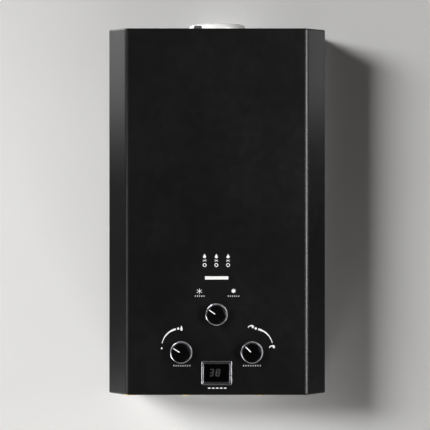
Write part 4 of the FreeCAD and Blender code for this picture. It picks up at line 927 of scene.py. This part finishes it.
@dataclass
class PanelPrint:
    """White marks printed on the front. Places are x and z on it, and everything is in millimetres."""

    face: float = -155.0
    column_pitch: float = 17.6
    column_middle: float = -0.5
    flame_foot: float = -69.8
    flame_size: Point = (4.3, 6.7)
    cross_level: float = -73.3
    cross_reach: Point = (3.7, 1.8)
    cross_width: float = 0.7
    ring_level: float = -80.0
    ring_radii: Point = (2.85, 1.75)
    snow_place: Point = (-25.8, -119.2)
    snow_reach: Point = (4.3, 4.3)
    snow_width: float = 0.72
    sun_place: Point = (25.3, -118.9)
    sun_radii: Point = (3.6, 2.3)
    sun_corners: int = 16
    arc_radius: float = 27.6
    arc_widths: Point = (2.9, 0.8)
    dot_radius: float = 1.8
    gas_arc: Point = (-54.8, -202.9)
    gas_turns: Point = (103.5, 168.5)
    gas_dot: Point = (-57.7, -175.3)
    flames: tuple = (((-52.8, -178.7), 3.4, 8.3), ((-82.4, -206.1), 2.2, 3.4))
    water_arc: Point = (56.5, -203.2)
    water_turns: Point = (77.8, 13.1)
    water_dot: Point = (58.6, -175.0)
    taps: tuple = (((51.3, -172.3), 1.0), ((83.0, -202.4), 0.95))
    tap_shape: tuple[Point, ...] = (
        (-4.6, -1.9), (-3.6, -2.0), (-3.2, -0.6), (-1.0, 0.3), (1.0, 0.2), (1.5, -2.3), (4.1, -2.3),
        (4.5, 0.6), (3.6, 2.2), (1.0, 2.5), (-2.4, 1.6), (-4.2, 0.2),
    )
    bar_rows: tuple = (
        (-25.5, -126.6, 5, 13.0), (25.3, -126.6, 6, 16.0), (-52.2, -230.9, 8, 24.0), (52.9, -230.9, 8, 25.0),
    )
    bar_half: float = 0.5
    bar_width: float = 1.3
    dash_level: float = -264.5
    dash_start: float = -11.2
    dash_pitch: float = 6.0
    dash_count: int = 5
    dash_half: float = 1.3
    dash_width: float = 1.5

    def stamp(self, name: str, outlines: Iterable[Sequence[Point]], ink: Finish = PANEL_INK) -> None:
        """Prints filled marks as one piece.

        Args:
            name: the piece's name.
            outlines: the marks' outlines.
            ink: the marks' finish.
        """
        sheet = PrintSheet(self.face)
        for outline in outlines:
            sheet.patch(outline)
        sheet.piece(name, Body.CASE, ink)

    def print_flame_guide(self) -> None:
        """Prints three columns of small flame, cross and ring over the sight window."""
        sheet = PrintSheet(self.face)
        columns = [self.column_middle + column * self.column_pitch for column in (-1, 0, 1)]
        for x in columns:
            sheet.patch(teardrop((x, self.flame_foot), *self.flame_size))
            sheet.band(*(circle((x, self.ring_level), radius) for radius in self.ring_radii))
        sheet.piece("print_flame_guide", Body.CASE, PANEL_INK)
        crosses = [
            star((x, self.cross_level), 4, self.cross_reach, self.cross_width, first_turn=45.0)
            for x in columns
        ]
        self.stamp("print_crosses", crosses)

    def print_seasons(self) -> None:
        """Prints the snowflake and the sun beside the season knob."""
        snow = star(self.snow_place, 6, self.snow_reach, self.snow_width, first_turn=90.0)
        sun = [
            polar(self.sun_place, self.sun_radii[place % 2], FULL_TURN * place / self.sun_corners)
            for place in range(self.sun_corners)
        ]
        self.stamp("print_seasons", [snow, sun])

    def tap_outline(self, middle: Point, size: float) -> list[Point]:
        """Gives the outline of a small tap, with its pillar on the right and its spout on the left."""
        return [(middle[0] + x * size, middle[1] + z * size) for x, z in self.tap_shape]

    def print_scales(self) -> None:
        """Prints the gas knob's arc with its flames, and the water knob's arc with its taps."""
        arc = sweep(self.gas_arc, self.arc_radius, self.gas_turns, self.arc_widths)
        flames = [teardrop(*flame) for flame in self.flames]
        self.stamp("print_gas_scale", [arc, circle(self.gas_dot, self.dot_radius), *flames])
        arc = sweep(self.water_arc, self.arc_radius, self.water_turns, self.arc_widths)
        taps = [self.tap_outline(*tap) for tap in self.taps]
        self.stamp("print_water_scale", [arc, circle(self.water_dot, self.dot_radius), *taps])

    def print_rows(self) -> None:
        """Prints rows of short bars under the dials and seasons, and a row of dashes under the display."""
        bars = []
        for middle, level, count, width in self.bar_rows:
            for place in range(count):
                x = middle - width / 2 + width / (count - 1) * place
                ends = (x, level - self.bar_half), (x, level + self.bar_half)
                bars.append(bar(*ends, self.bar_width))
        self.stamp("print_level_bars", bars, SOFT_INK)
        dashes = []
        for place in range(self.dash_count):
            x = self.dash_start + self.dash_pitch * place
            ends = (x - self.dash_half, self.dash_level), (x + self.dash_half, self.dash_level)
            dashes.append(bar(*ends, self.dash_width))
        self.stamp("print_display_dashes", dashes)

    def build(self) -> None:
        """Prints every mark."""
        self.print_flame_guide()
        self.print_seasons()
        self.print_scales()
        self.print_rows()


@dataclass
class Dial:
    """White pointer line of one knob. It lies in the groove, then runs over the rim and down the side.

    Sizes are in millimetres, and heights are the places on Y, which is the knob's axis.
    """

    name: str
    body: Body
    pointer_turn: float
    width: float = 1.55
    inner: float = 2.35
    inner_step: float = 1.0
    dish_radius: float = 12.05
    dish_depth: float = 0.5
    rim_width: float = 1.6
    rim_round: float = 0.8
    side_run: float = 4.5
    side_lean: float = 0.053
    proud: float = 0.03
    bulk: float = 0.3
    edge: float = 0.12
    round_steps: int = 6

    def route(self, front: float) -> list[Point]:
        """Gives the line's path.

        Args:
            front: height of the knob's front.

        Returns:
            Radius and height of each point, from the middle outwards.
        """
        dish = front + self.dish_depth
        rim = self.dish_radius + self.dish_depth
        shoulder = rim + self.rim_width - self.rim_round
        points = [(self.inner, dish), (self.inner + self.inner_step, dish)]
        points += [(self.dish_radius, dish), (rim, front)]
        for step in range(self.round_steps + 1):
            turn = math.pi / 2 * step / self.round_steps
            radius = shoulder + self.rim_round * math.sin(turn)
            points.append((radius, front + self.rim_round * (1 - math.cos(turn))))
        last_radius, last_height = points[-1]
        points.append((last_radius + self.side_lean * self.side_run, last_height + self.side_run))
        return points

    def build(self) -> None:
        """Builds the line as a bar with bevelled edges along its path."""
        centre = front_middle(f"knob_{self.name}")
        turn = math.radians(self.pointer_turn)
        outward = Vector((math.cos(turn), 0.0, math.sin(turn)))
        across = Vector((-math.sin(turn), 0.0, math.cos(turn)))
        half = self.width / 2
        profile = (
            (-half, -self.bulk), (-half, self.proud - self.edge), (self.edge - half, self.proud),
            (half - self.edge, self.proud), (half, self.proud - self.edge), (half, -self.bulk),
        )
        route = self.route(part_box(f"knob_{self.name}")[0][1] / MM)
        mesh = bmesh.new()
        rows = []
        for place, (radius, height) in enumerate(route):
            before, after = route[max(place - 1, 0)], route[min(place + 1, len(route) - 1)]
            along = Vector((after[0] - before[0], after[1] - before[1])).normalized()
            row = []
            for side, lift in profile:
                reach = radius + along.y * lift
                depth = height - along.x * lift
                spot = centre + (outward * reach + across * side + Vector((0.0, depth, 0.0))) * MM
                row.append(mesh.verts.new(spot))
            rows.append(row)
        skin(mesh, rows, closed=False)
        carry(piece_from(mesh, f"pointer_{self.name}"), self.body, PANEL_INK)


@dataclass
class Display:
    """Bright trim of the frame, smoked pane and the two seven-segment figures, all in millimetres.

    LIT names the lit strokes of each figure.
    """

    LIT = {"3": "abcdg", "8": "abcdefg"}
    figures: str = "38"
    first_middle: float = -7.7
    pitch: float = 9.5
    level: float = -241.4
    cell: Point = (4.9, 9.5)
    stroke: float = 1.05
    stroke_gap: float = 0.12
    slant: float = 8.0
    figure_face: float = -154.25
    figure_thickness: float = 0.1
    pane_front: float = -155.5
    pane_back: float = -154.7
    pane_bevel: float = 0.2
    corner: float = 2.5
    outer_bead: float = 0.8
    outer_sink: float = 0.85
    inner_bead: float = 0.42
    inner_sink: float = 0.6
    slope_inset: float = 3.0
    slope_corner: float = 0.6
    corner_steps: int = 8
    bead_sides: int = 12

    def strokes(self, figure: str) -> Iterable[tuple[Point, Point]]:
        """Gives the lit strokes of a figure.

        Args:
            figure: the figure's character.

        Returns:
            The two ends of each stroke, about the figure's middle.
        """
        wide, high = self.cell[0] / 2, self.cell[1] / 2
        ends = {
            "a": ((-wide, high), (wide, high)),
            "b": ((wide, high), (wide, 0)),
            "c": ((wide, 0), (wide, -high)),
            "d": ((-wide, -high), (wide, -high)),
            "e": ((-wide, 0), (-wide, -high)),
            "f": ((-wide, high), (-wide, 0)),
            "g": ((-wide, 0), (wide, 0)),
        }
        return [ends[key] for key in self.LIT[figure]]

    def segment(self, start: Point, end: Point) -> list[Point]:
        """Gives a pointed six-sided stroke, a little short of both ends.

        Args:
            start: its first end.
            end: its last end.

        Returns:
            The outline's points.
        """
        along = (Vector(end) - Vector(start)).normalized()
        across = Vector((-along.y, along.x)) * self.stroke / 2
        taper = along * (self.stroke / 2)
        first = Vector(start) + along * self.stroke_gap
        last = Vector(end) - along * self.stroke_gap
        corners = (
            first, first + taper + across, last - taper + across, last, last - taper - across,
            first + taper - across,
        )
        return [tuple(corner) for corner in corners]

    def bead(self, mesh: Mesh, inset: float, corner: float, radius: float, level: float) -> None:
        """Adds a round bead that follows the frame's outline.

        Args:
            mesh: the mesh to add to.
            inset: distance of the bead's middle from the frame's outside.
            corner: corner radius of its path.
            radius: the bead's own radius.
            level: y of its middle.
        """
        low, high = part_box("display_bezel")
        middle = front_middle("display_bezel")
        wide = (high[0] - low[0]) / 2 / MM - inset - corner
        tall = (high[2] - low[2]) / 2 / MM - inset - corner
        rows = []
        for quarter, (side, rise) in enumerate(((1, 1), (-1, 1), (-1, -1), (1, -1))):
            for step in range(self.corner_steps + 1):
                turn = math.pi / 2 * (quarter + step / self.corner_steps)
                outward = Vector((math.cos(turn), 0.0, math.sin(turn)))
                row = []
                for place in range(self.bead_sides):
                    roll = FULL_TURN * place / self.bead_sides
                    reach = corner + radius * math.cos(roll)
                    path = Vector((side * wide, level - radius * math.sin(roll), rise * tall))
                    row.append(mesh.verts.new(middle + (path + outward * reach) * MM))
                rows.append(row)
        skin(mesh, rows, closed=True)

    def build_trim(self) -> None:
        """Builds the bright bead round the frame and the finer one where its slope starts."""
        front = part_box("display_bezel")[0][1] / MM
        inset = self.outer_bead * self.outer_sink
        mesh = bmesh.new()
        self.bead(mesh, inset, self.corner - inset, self.outer_bead, front + inset)
        depth = front + self.inner_bead * self.inner_sink
        self.bead(mesh, self.slope_inset, self.slope_corner, self.inner_bead, depth)
        carry(piece_from(mesh, "display_trim"), Body.CASE, TRIM_CHROME)

    def build_figures(self) -> None:
        """Builds the slanted figures behind the pane."""
        sheet = PrintSheet(self.figure_face, self.figure_thickness)
        lean = math.tan(math.radians(self.slant))
        for place, figure in enumerate(self.figures):
            middle = self.first_middle + self.pitch * place
            for start, end in self.strokes(figure):
                outline = self.segment(start, end)
                sheet.patch([(middle + x + z * lean, self.level + z) for x, z in outline])
        sheet.piece("display_figures", Body.CASE, DIGIT_LIGHT, "display_glass")

    def build_pane(self) -> None:
        """Builds the pane with bevelled edges."""
        low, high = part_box("display_window")
        mesh = bmesh.new()
        bmesh.ops.create_cube(mesh, size=1.0)
        size = Vector((high[0] - low[0], (self.pane_back - self.pane_front) * MM, high[2] - low[2]))
        depth = (self.pane_back + self.pane_front) / 2 * MM
        middle = Vector(((low[0] + high[0]) / 2, depth, (low[2] + high[2]) / 2))
        place = Matrix.Translation(middle) @ Matrix.Diagonal((*size, 1.0))
        bmesh.ops.transform(mesh, matrix=place, verts=mesh.verts)
        bmesh.ops.bevel(mesh, geom=mesh.edges[:], offset=self.pane_bevel * MM, segments=2, affect="EDGES")
        pane = carry(piece_from(mesh, "display_pane"), Body.CASE, SMOKED_GLASS)
        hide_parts("display_window")

    def build(self) -> None:
        """Builds the trim, the figures and the pane."""
        self.build_trim()
        self.build_figures()
        self.build_pane()


def clamp(value: float) -> float:
    """Keeps a value between 0 and 1."""
    return min(max(value, 0.0), 1.0)


@dataclass
class PanScrews:
    """Pan-head screws with a cross recess. Sizes are in millimetres."""

    name: str
    node: str
    axis: Axis
    seats: Sequence[Place]
    head_radius: float = 3.8
    head_height: float = 2.2
    head_edge: float = 0.15
    head_steps: int = 16
    dome_fall: float = 0.55
    shank_radius: float = 2.0
    shank_length: float = 7.0
    tip_share: float = 0.6
    tip_length: float = 1.2
    recess_width: float = 1.0
    recess_slope: float = 0.3
    recess_reach: float = 2.3
    recess_end: float = 0.5
    recess_depth: float = 1.1
    columns: int = 48

    def top(self, radius: float) -> Ring:
        """Gives one ring of the domed head, sunk where the cross is.

        Args:
            radius: the ring's radius.

        Returns:
            The ring.
        """
        dome = self.head_height * (1 - self.dome_fall * (radius / self.head_radius) ** 4)

        def ring(turn: float) -> Point:
            """Gives one point of the ring.

            Args:
                turn: its angle.

            Returns:
                Its radius and height.
            """
            across = min(abs(radius * math.cos(turn)), abs(radius * math.sin(turn)))
            in_width = clamp((self.recess_width / 2 + self.recess_slope / 2 - across) / self.recess_slope)
            in_reach = clamp((self.recess_reach - radius) / self.recess_end)
            return radius, dome - self.recess_depth * in_width * in_reach

        return ring

    def build(self) -> None:
        """Builds every screw of the group in one piece."""
        mesh = bmesh.new()
        rings = [
            steady(self.shank_radius * self.tip_share, -self.shank_length),
            steady(self.shank_radius, -self.shank_length + self.tip_length),
            steady(self.shank_radius, 0.0),
            steady(self.head_radius - self.head_edge, 0.0),
            steady(self.head_radius, self.head_edge),
        ]
        for step in range(self.head_steps):
            rings.append(self.top(self.head_radius * (1 - step / self.head_steps)))
        for seat in self.seats:
            stand = Matrix.Translation(Vector(seat) * MM) @ self.axis.value
            lathe(mesh, rings, self.columns, stand, closed=False)
        piece = carry(piece_from(mesh, self.name), Body.CASE, SCREW_STEEL)
        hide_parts(self.node)


@dataclass
class Connector:
    """Brass end with a pipe thread below the case and a hexagon above the bottom plate, in millimetres.

    hexagon and thread are the levels where each starts and ends.
    """

    name: str
    node: str
    centre: Point
    hexagon: Point
    crest: float = 10.48
    thread_depth: float = 1.16
    thread_pitch: float = 1.814
    thread_steps: int = 70
    thread: Point = (-283.6, -268.2)
    fade_length: float = 1.6
    fade_depth: float = 0.9
    neck: float = 9.48
    neck_step: float = 0.4
    bore: float = 5.2
    bore_edge: float = 0.5
    corner: float = 13.5
    corner_cut: float = 1.5
    bevel: float = 0.6
    hexagon_lift: float = 0.02
    hexagon_from: float = 11.0
    columns: int = 60
    smooth_angle: float = 40.0

    def thread_ring(self, height: float) -> Ring:
        """Gives one ring of the rounded thread.

        Args:
            height: the ring's level.

        Returns:
            The ring.
        """
        fade = clamp(min(height - self.thread[0], self.thread[1] - height) / self.fade_length)

        def ring(turn: float) -> Point:
            """Gives one point of the ring.

            Args:
                turn: its angle.

            Returns:
                Its radius and height.
            """
            phase = height / self.thread_pitch - turn / FULL_TURN
            wave = 0.5 + 0.5 * math.cos(FULL_TURN * phase)
            return self.crest - self.thread_depth * (1 - wave) - (1 - fade) * self.fade_depth * wave, height

        return ring

    def hexagon_ring(self, height: float, limit: float) -> Ring:
        """Gives a hexagonal ring.

        Args:
            height: the ring's level.
            limit: radius at which its corners are cut round.

        Returns:
            The ring.
        """
        sixth = math.pi / 3
        apothem = self.corner * math.cos(sixth / 2)
        return lambda turn: (min(apothem / math.cos(turn % sixth - sixth / 2), limit), height)

    def build(self) -> None:
        """Builds the tube with its thread, and the hexagon round it."""
        low, high = (corner[2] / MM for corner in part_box(self.node))
        stand = Matrix.Translation((self.centre[0] * MM, self.centre[1] * MM, 0.0))
        mesh = bmesh.new()
        start, end = self.thread
        rings = [steady(self.bore, high), steady(self.bore, low + self.bore_edge)]
        rings += [steady(self.bore + self.bore_edge, low), steady(self.neck - self.neck_step, low)]
        rings.append(steady(self.neck, start))
        for step in range(self.thread_steps + 1):
            rings.append(self.thread_ring(start + (end - start) * step / self.thread_steps))
        rings += [steady(self.neck, end + self.neck_step), steady(self.neck, high)]
        lathe(mesh, rings, self.columns, stand, closed=True)
        foot, top = self.hexagon
        seat, cut = self.neck + self.hexagon_lift, self.corner - self.corner_cut
        rings = [
            steady(seat, foot),
            self.hexagon_ring(foot, cut),
            self.hexagon_ring(foot + self.bevel, self.corner),
            self.hexagon_ring(top - self.bevel, self.corner),
            self.hexagon_ring(top, cut),
            steady(seat, top),
        ]
        lathe(mesh, rings, self.columns * 2, stand, closed=True)
        piece = carry(piece_from(mesh, self.name, self.smooth_angle), Body.CASE, BRASS)
        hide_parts(self.node)


@dataclass
class Shell:
    """Every piece that keeps its construction shape and takes a finish."""

    def build(self) -> None:
        """Dresses every node."""
        low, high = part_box("battery_left")
        cell = CellFinish(
            "cell_jacket", (0.42, 0.43, 0.44), (0.36, 0.37, 0.38), (0.22, 0.34), relief=0.01,
            nodes=("battery_left", "battery_right"), low=low[2] / MM, high=high[2] / MM,
        )
        for finish in (*NODE_FINISHES, cell):
            for node in finish.nodes:
                data = frame["nodes"][node].data
                data.materials.clear()
                data.materials.append(finish.build())


@dataclass(frozen=True)
class Softbox:
    """Rectangular studio light that faces a point. Sizes and places are in metres."""

    name: str
    place: Place
    aim: Place
    width: float
    height: float
    power: float
    seen_by_matt: bool = True
    seen_by_gloss: bool = True

    def build(self) -> None:
        """Adds the light."""
        data = bpy.data.lights.new(self.name, "AREA")
        data.shape = "RECTANGLE"
        data.size = self.width
        data.size_y = self.height
        data.energy = self.power
        light = add_to_scene(self.name, data)
        light.location = self.place
        heading = Vector(self.aim) - Vector(self.place)
        light.rotation_euler = heading.to_track_quat("-Z", "Y").to_euler()
        light.visible_camera = False
        light.visible_diffuse = self.seen_by_matt
        light.visible_glossy = self.seen_by_gloss


@dataclass
class Studio:
    """Wall, floor, lights, world and camera. Sizes are in metres."""

    KEY_PLACE = (-4.3, -5.1, 1.85)
    KEY_AIM = (0.0, -0.1, 0.0)
    KEY_SIZE = (2.85, 1.8)
    wall_half: float = 3.2
    wall_gap: float = 0.0006
    wall_tone: Colour = (0.86, 0.855, 0.848)
    # Painted shade on the wall: its colour darkens towards the upper right.
    wall_painted_shade: float = 0.26
    floor_level: float = -1.25
    floor_tone: Colour = (0.7, 0.7, 0.69)
    floor_pale: float = 0.55
    cloud_depth: float = 0.95
    cloud_scale: float = 2.5
    painted_shade_heading: Place = (0.6, 0.0, 0.4)
    painted_shade_range: Point = (-0.2, 0.1)
    camera_place: Place = (0.06, -2.555, 0.04)
    view_middle: Point = (-0.0025, -0.005)
    view_width: float = 0.64457
    front_plane: float = -0.155
    sensor: float = 36.0
    far_limit: float = 50.0
    fill: float = 0.055
    fill_tone: Colour = (1.0, 0.93, 0.85)
    sky_tone: Colour = (0.98, 0.99, 1.0)
    pale_range: Point = (-0.08, 0.14)
    pale_low: float = 0.12
    pale_high: float = 0.82
    softboxes: tuple[Softbox, ...] = (
        Softbox("key", KEY_PLACE, KEY_AIM, *KEY_SIZE, 470.0, seen_by_gloss=False),
        Softbox("key_gleam", KEY_PLACE, KEY_AIM, *KEY_SIZE, 240.0, False),
        Softbox("rear_fill", (0.9, 2.1, 0.4), (0.0, 0.0, -0.05), 1.6, 1.6, 48.0),
        Softbox("floor_bounce", (0.0, -0.5, -1.15), (0.0, -0.1, -0.3), 0.6, 0.6, 3.5),
        Softbox("left_card", (-0.55, -0.1, 0.56), (-0.15, -0.14, 0.29), 0.25, 0.25, 22.0, False),
        Softbox("left_long_card", (-0.7, -0.1, 0.3), (-0.15, -0.14, 0.2), 0.3, 0.3, 5.0, False),
        Softbox("left_floor_card", (-0.7, -0.1, -0.6), (-0.15, -0.14, -0.25), 0.4, 0.4, 22.0, False),
        Softbox("right_card", (0.6, -0.1, 0.28), (0.15, -0.14, 0.2), 0.25, 0.25, 2.0, False),
        Softbox("right_floor_card", (0.7, -0.1, -0.6), (0.15, -0.14, -0.25), 0.4, 0.4, 2.5, False),
        Softbox("right_strip", (1.5, -1.7, 0.05), (0.14, -0.15, 0.05), 0.5, 1.34, 330.0, False),
        Softbox("left_strip", (-1.5, -1.7, -0.45), (-0.14, -0.15, -0.1), 0.4, 1.1, 60.0, False),
    )

    def backdrop(
        self, name: str, corners: Sequence[Place], tone: Colour, pale: float, fade: float = 0.0,
    ) -> Piece:
        """Adds a pale backdrop sheet, clear from behind and for the light that matt faces gather.

        Args:
            name: the object's name.
            corners: its four corners, turning so that the front faces the heater.
            tone: linear colour.
            pale: share of the colour that shows without any lamp.
            fade: share of the colour that is taken off towards the upper right, as painted shade that stands
                in for the fall of the lamps' light across the sheet.

        Returns:
            The sheet.
        """
        data = bpy.data.meshes.new(name)
        data.from_pydata([Vector(corner) for corner in corners], [], [(0, 1, 2, 3)])
        material, tree = open_material(name)
        shade = tuple(channel * self.cloud_depth for channel in tone)
        colour = EFFECTS.use(tree, "tone_drift", Tone=tone, Shade=shade, Scale=self.cloud_scale)
        # Painted shade: the colour darkens towards the upper right, in place of the fall of the lamps' light
        # across the wall.
        if fade:
            across = tree.dot(tree.place(), self.painted_shade_heading)
            share = tree.spread(across, *self.painted_shade_range, 0.0, fade)
            colour = tree.mix(share, colour, BLACK)
        matt = tree.add("ShaderNodeBsdfDiffuse", {"Color": colour}).outputs[0]
        glow = tree.add("ShaderNodeEmission", {"Color": colour, "Strength": pale}).outputs[0]
        both = tree.add("ShaderNodeAddShader", {0: matt, 1: glow}).outputs[0]
        clear = tree.add("ShaderNodeBsdfTransparent").outputs[0]
        front = tree.sum_of("SUBTRACT", 1.0, tree.add("ShaderNodeNewGeometry").outputs["Backfacing"])
        shown = tree.sum_of("MULTIPLY", self.seen(tree), front)
        blend = tree.add("ShaderNodeMixShader", {0: shown, 1: clear, 2: both})
        tree.add("ShaderNodeOutputMaterial", {"Surface": blend.outputs[0]})
        data.materials.append(material)
        return add_to_scene(name, data)

    def build_sheets(self) -> None:
        """Adds the wall behind the heater and the floor below it."""
        half, gap, level = self.wall_half, self.wall_gap, self.floor_level
        corners = [(-half, gap, level), (half, gap, level), (half, gap, half), (-half, gap, half)]
        wall = self.backdrop("wall", corners, self.wall_tone, 0.0, self.wall_painted_shade)
        corners = [(-half, -half, level), (half, -half, level), (half, half, level), (-half, half, level)]
        floor = self.backdrop("floor", corners, self.floor_tone, self.floor_pale)

    def seen(self, tree: ShaderTree) -> Socket:
        """Gives the mask of rays from the camera, from gloss and through glass.

        Args:
            tree: the tree to add to.

        Returns:
            The mask's socket.
        """
        path = tree.add("ShaderNodeLightPath")
        share = tree.sum_of("MAXIMUM", path.outputs["Is Camera Ray"], path.outputs["Is Glossy Ray"])
        return tree.sum_of("MAXIMUM", share, path.outputs["Is Transmission Ray"])

    def build_world(self) -> None:
        """Adds a soft world, pale in the picture, in metal and in glass, and brighter above than below."""
        world = bpy.data.worlds.new("studio_world")
        world.use_nodes = True
        tree = ShaderTree(world.node_tree)
        heading = tree.add("ShaderNodeTexCoord").outputs["Generated"]
        pale = tree.spread(tree.rise(heading), *self.pale_range, self.pale_low, self.pale_high)
        in_picture = tree.add("ShaderNodeLightPath").outputs["Is Camera Ray"]
        pale = tree.add("ShaderNodeMix", {0: in_picture, 2: pale, 3: self.pale_high}).outputs[0]
        strength = tree.add("ShaderNodeMix", {0: self.seen(tree), 2: self.fill, 3: pale}).outputs[0]
        tone = tree.mix(self.seen(tree), self.fill_tone, self.sky_tone)
        sky = tree.add("ShaderNodeBackground", {"Color": tone, "Strength": strength})
        tree.add("ShaderNodeOutputWorld", {"Surface": sky.outputs[0]})
        bpy.context.scene.world = world

    def build_camera(self) -> None:
        """Adds a level camera that faces the wall, with its frame shifted onto the heater."""
        data = bpy.data.cameras.new("photo_camera")
        x, y, z = self.camera_place
        distance = self.front_plane - y
        data.sensor_width = self.sensor
        data.lens = self.sensor * distance / self.view_width
        data.shift_x = (self.view_middle[0] - x) / self.view_width
        data.shift_y = (self.view_middle[1] - z) / self.view_width
        data.clip_end = self.far_limit
        camera = add_to_scene("photo_camera", data)
        camera.location = self.camera_place
        camera.rotation_euler = (math.pi / 2, 0.0, 0.0)
        bpy.context.scene.camera = camera

    def build(self) -> None:
        """Builds the whole studio."""
        self.build_sheets()
        self.build_world()
        for softbox in self.softboxes:
            softbox.build()
        self.build_camera()
        bpy.context.scene.view_settings.view_transform = "Standard"


def heights_beyond(node: str, centre: Point, radius: float) -> Point:
    """Gives the span of a node's points that lie beyond a radius from an upright line.

    Args:
        node: the node's name.
        centre: x and y of the line, in millimetres.
        radius: the radius, in millimetres.

    Returns:
        The lowest and the highest level, in millimetres.
    """
    levels = [
        corner.co.z / MM
        for corner in frame["nodes"][node].data.vertices
        if math.hypot(corner.co.x / MM - centre[0], corner.co.y / MM - centre[1]) > radius
    ]
    return min(levels), max(levels)


def make_connectors() -> list[Connector]:
    """Sets up the connectors, with the hexagons' levels read from the frame.

    Returns:
        The three connectors.
    """
    connectors = []
    for node in ("hot_connector", "gas_connector", "cold_connector"):
        low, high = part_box(node)
        centre = ((low[0] + high[0]) / 2 / MM, (low[1] + high[1]) / 2 / MM)
        levels = heights_beyond(node, centre, Connector.hexagon_from)
        connectors.append(Connector(f"{node}_thread", node, centre, levels))
    return connectors


def make_screws() -> list[PanScrews]:
    """Sets up the screws, with their places read from the frame.

    Returns:
        The groups of screws.
    """
    radius, height = PanScrews.head_radius, PanScrews.head_height
    low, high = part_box("cover_screws")
    level, seat = high[2] / MM - radius, high[0] / MM - height
    depth = (low[1] + high[1]) / 2 / MM
    right, left = ([(x, depth, side * level) for side in (-1, 1)] for x in (seat, -seat))
    low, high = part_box("plate_screws")
    reach, seat, level = high[0] / MM - radius, low[1] / MM + height, (low[2] + high[2]) / 2 / MM
    lip = [(side * reach, seat, level) for side in (-1, 1)]
    return [
        PanScrews("cover_screws_right", "cover_screws", Axis.RIGHT, right),
        PanScrews("cover_screws_left", "cover_screws", Axis.LEFT, left),
        PanScrews("lip_screws", "plate_screws", Axis.FRONT, lip, shank_length=2.0),
    ]


def dressed() -> dict[str, str]:
    """Lists what is in the scene.

    Returns:
        The material that each piece wears, by the piece's name.
    """
    pieces = bpy.context.scene.objects
    return {piece.name: piece.active_material.name for piece in pieces if piece.active_material}


def main() -> None:
    """Builds every sub-assembly in order and reports each piece that it added or dressed."""
    logging.basicConfig(level=logging.INFO, format="%(name)s: %(message)s")
    assemblies = [
        Studio(),
        Shell(),
        PanelPrint(),
        Dial("season", Body.SEASON, pointer_turn=144.7),
        Dial("gas", Body.GAS, pointer_turn=147.4),
        Dial("water", Body.WATER, pointer_turn=135.0),
        Display(),
        *make_screws(),
        *make_connectors(),
    ]
    before = dressed()
    for assembly in assemblies:
        assembly.build()
        after = dressed()
        for name, finish in after.items():
            if before.get(name) != finish:
                log.info("%s: %s in %s", type(assembly).__name__, name, finish)
        before = after


if __name__ == "__main__":
    main()
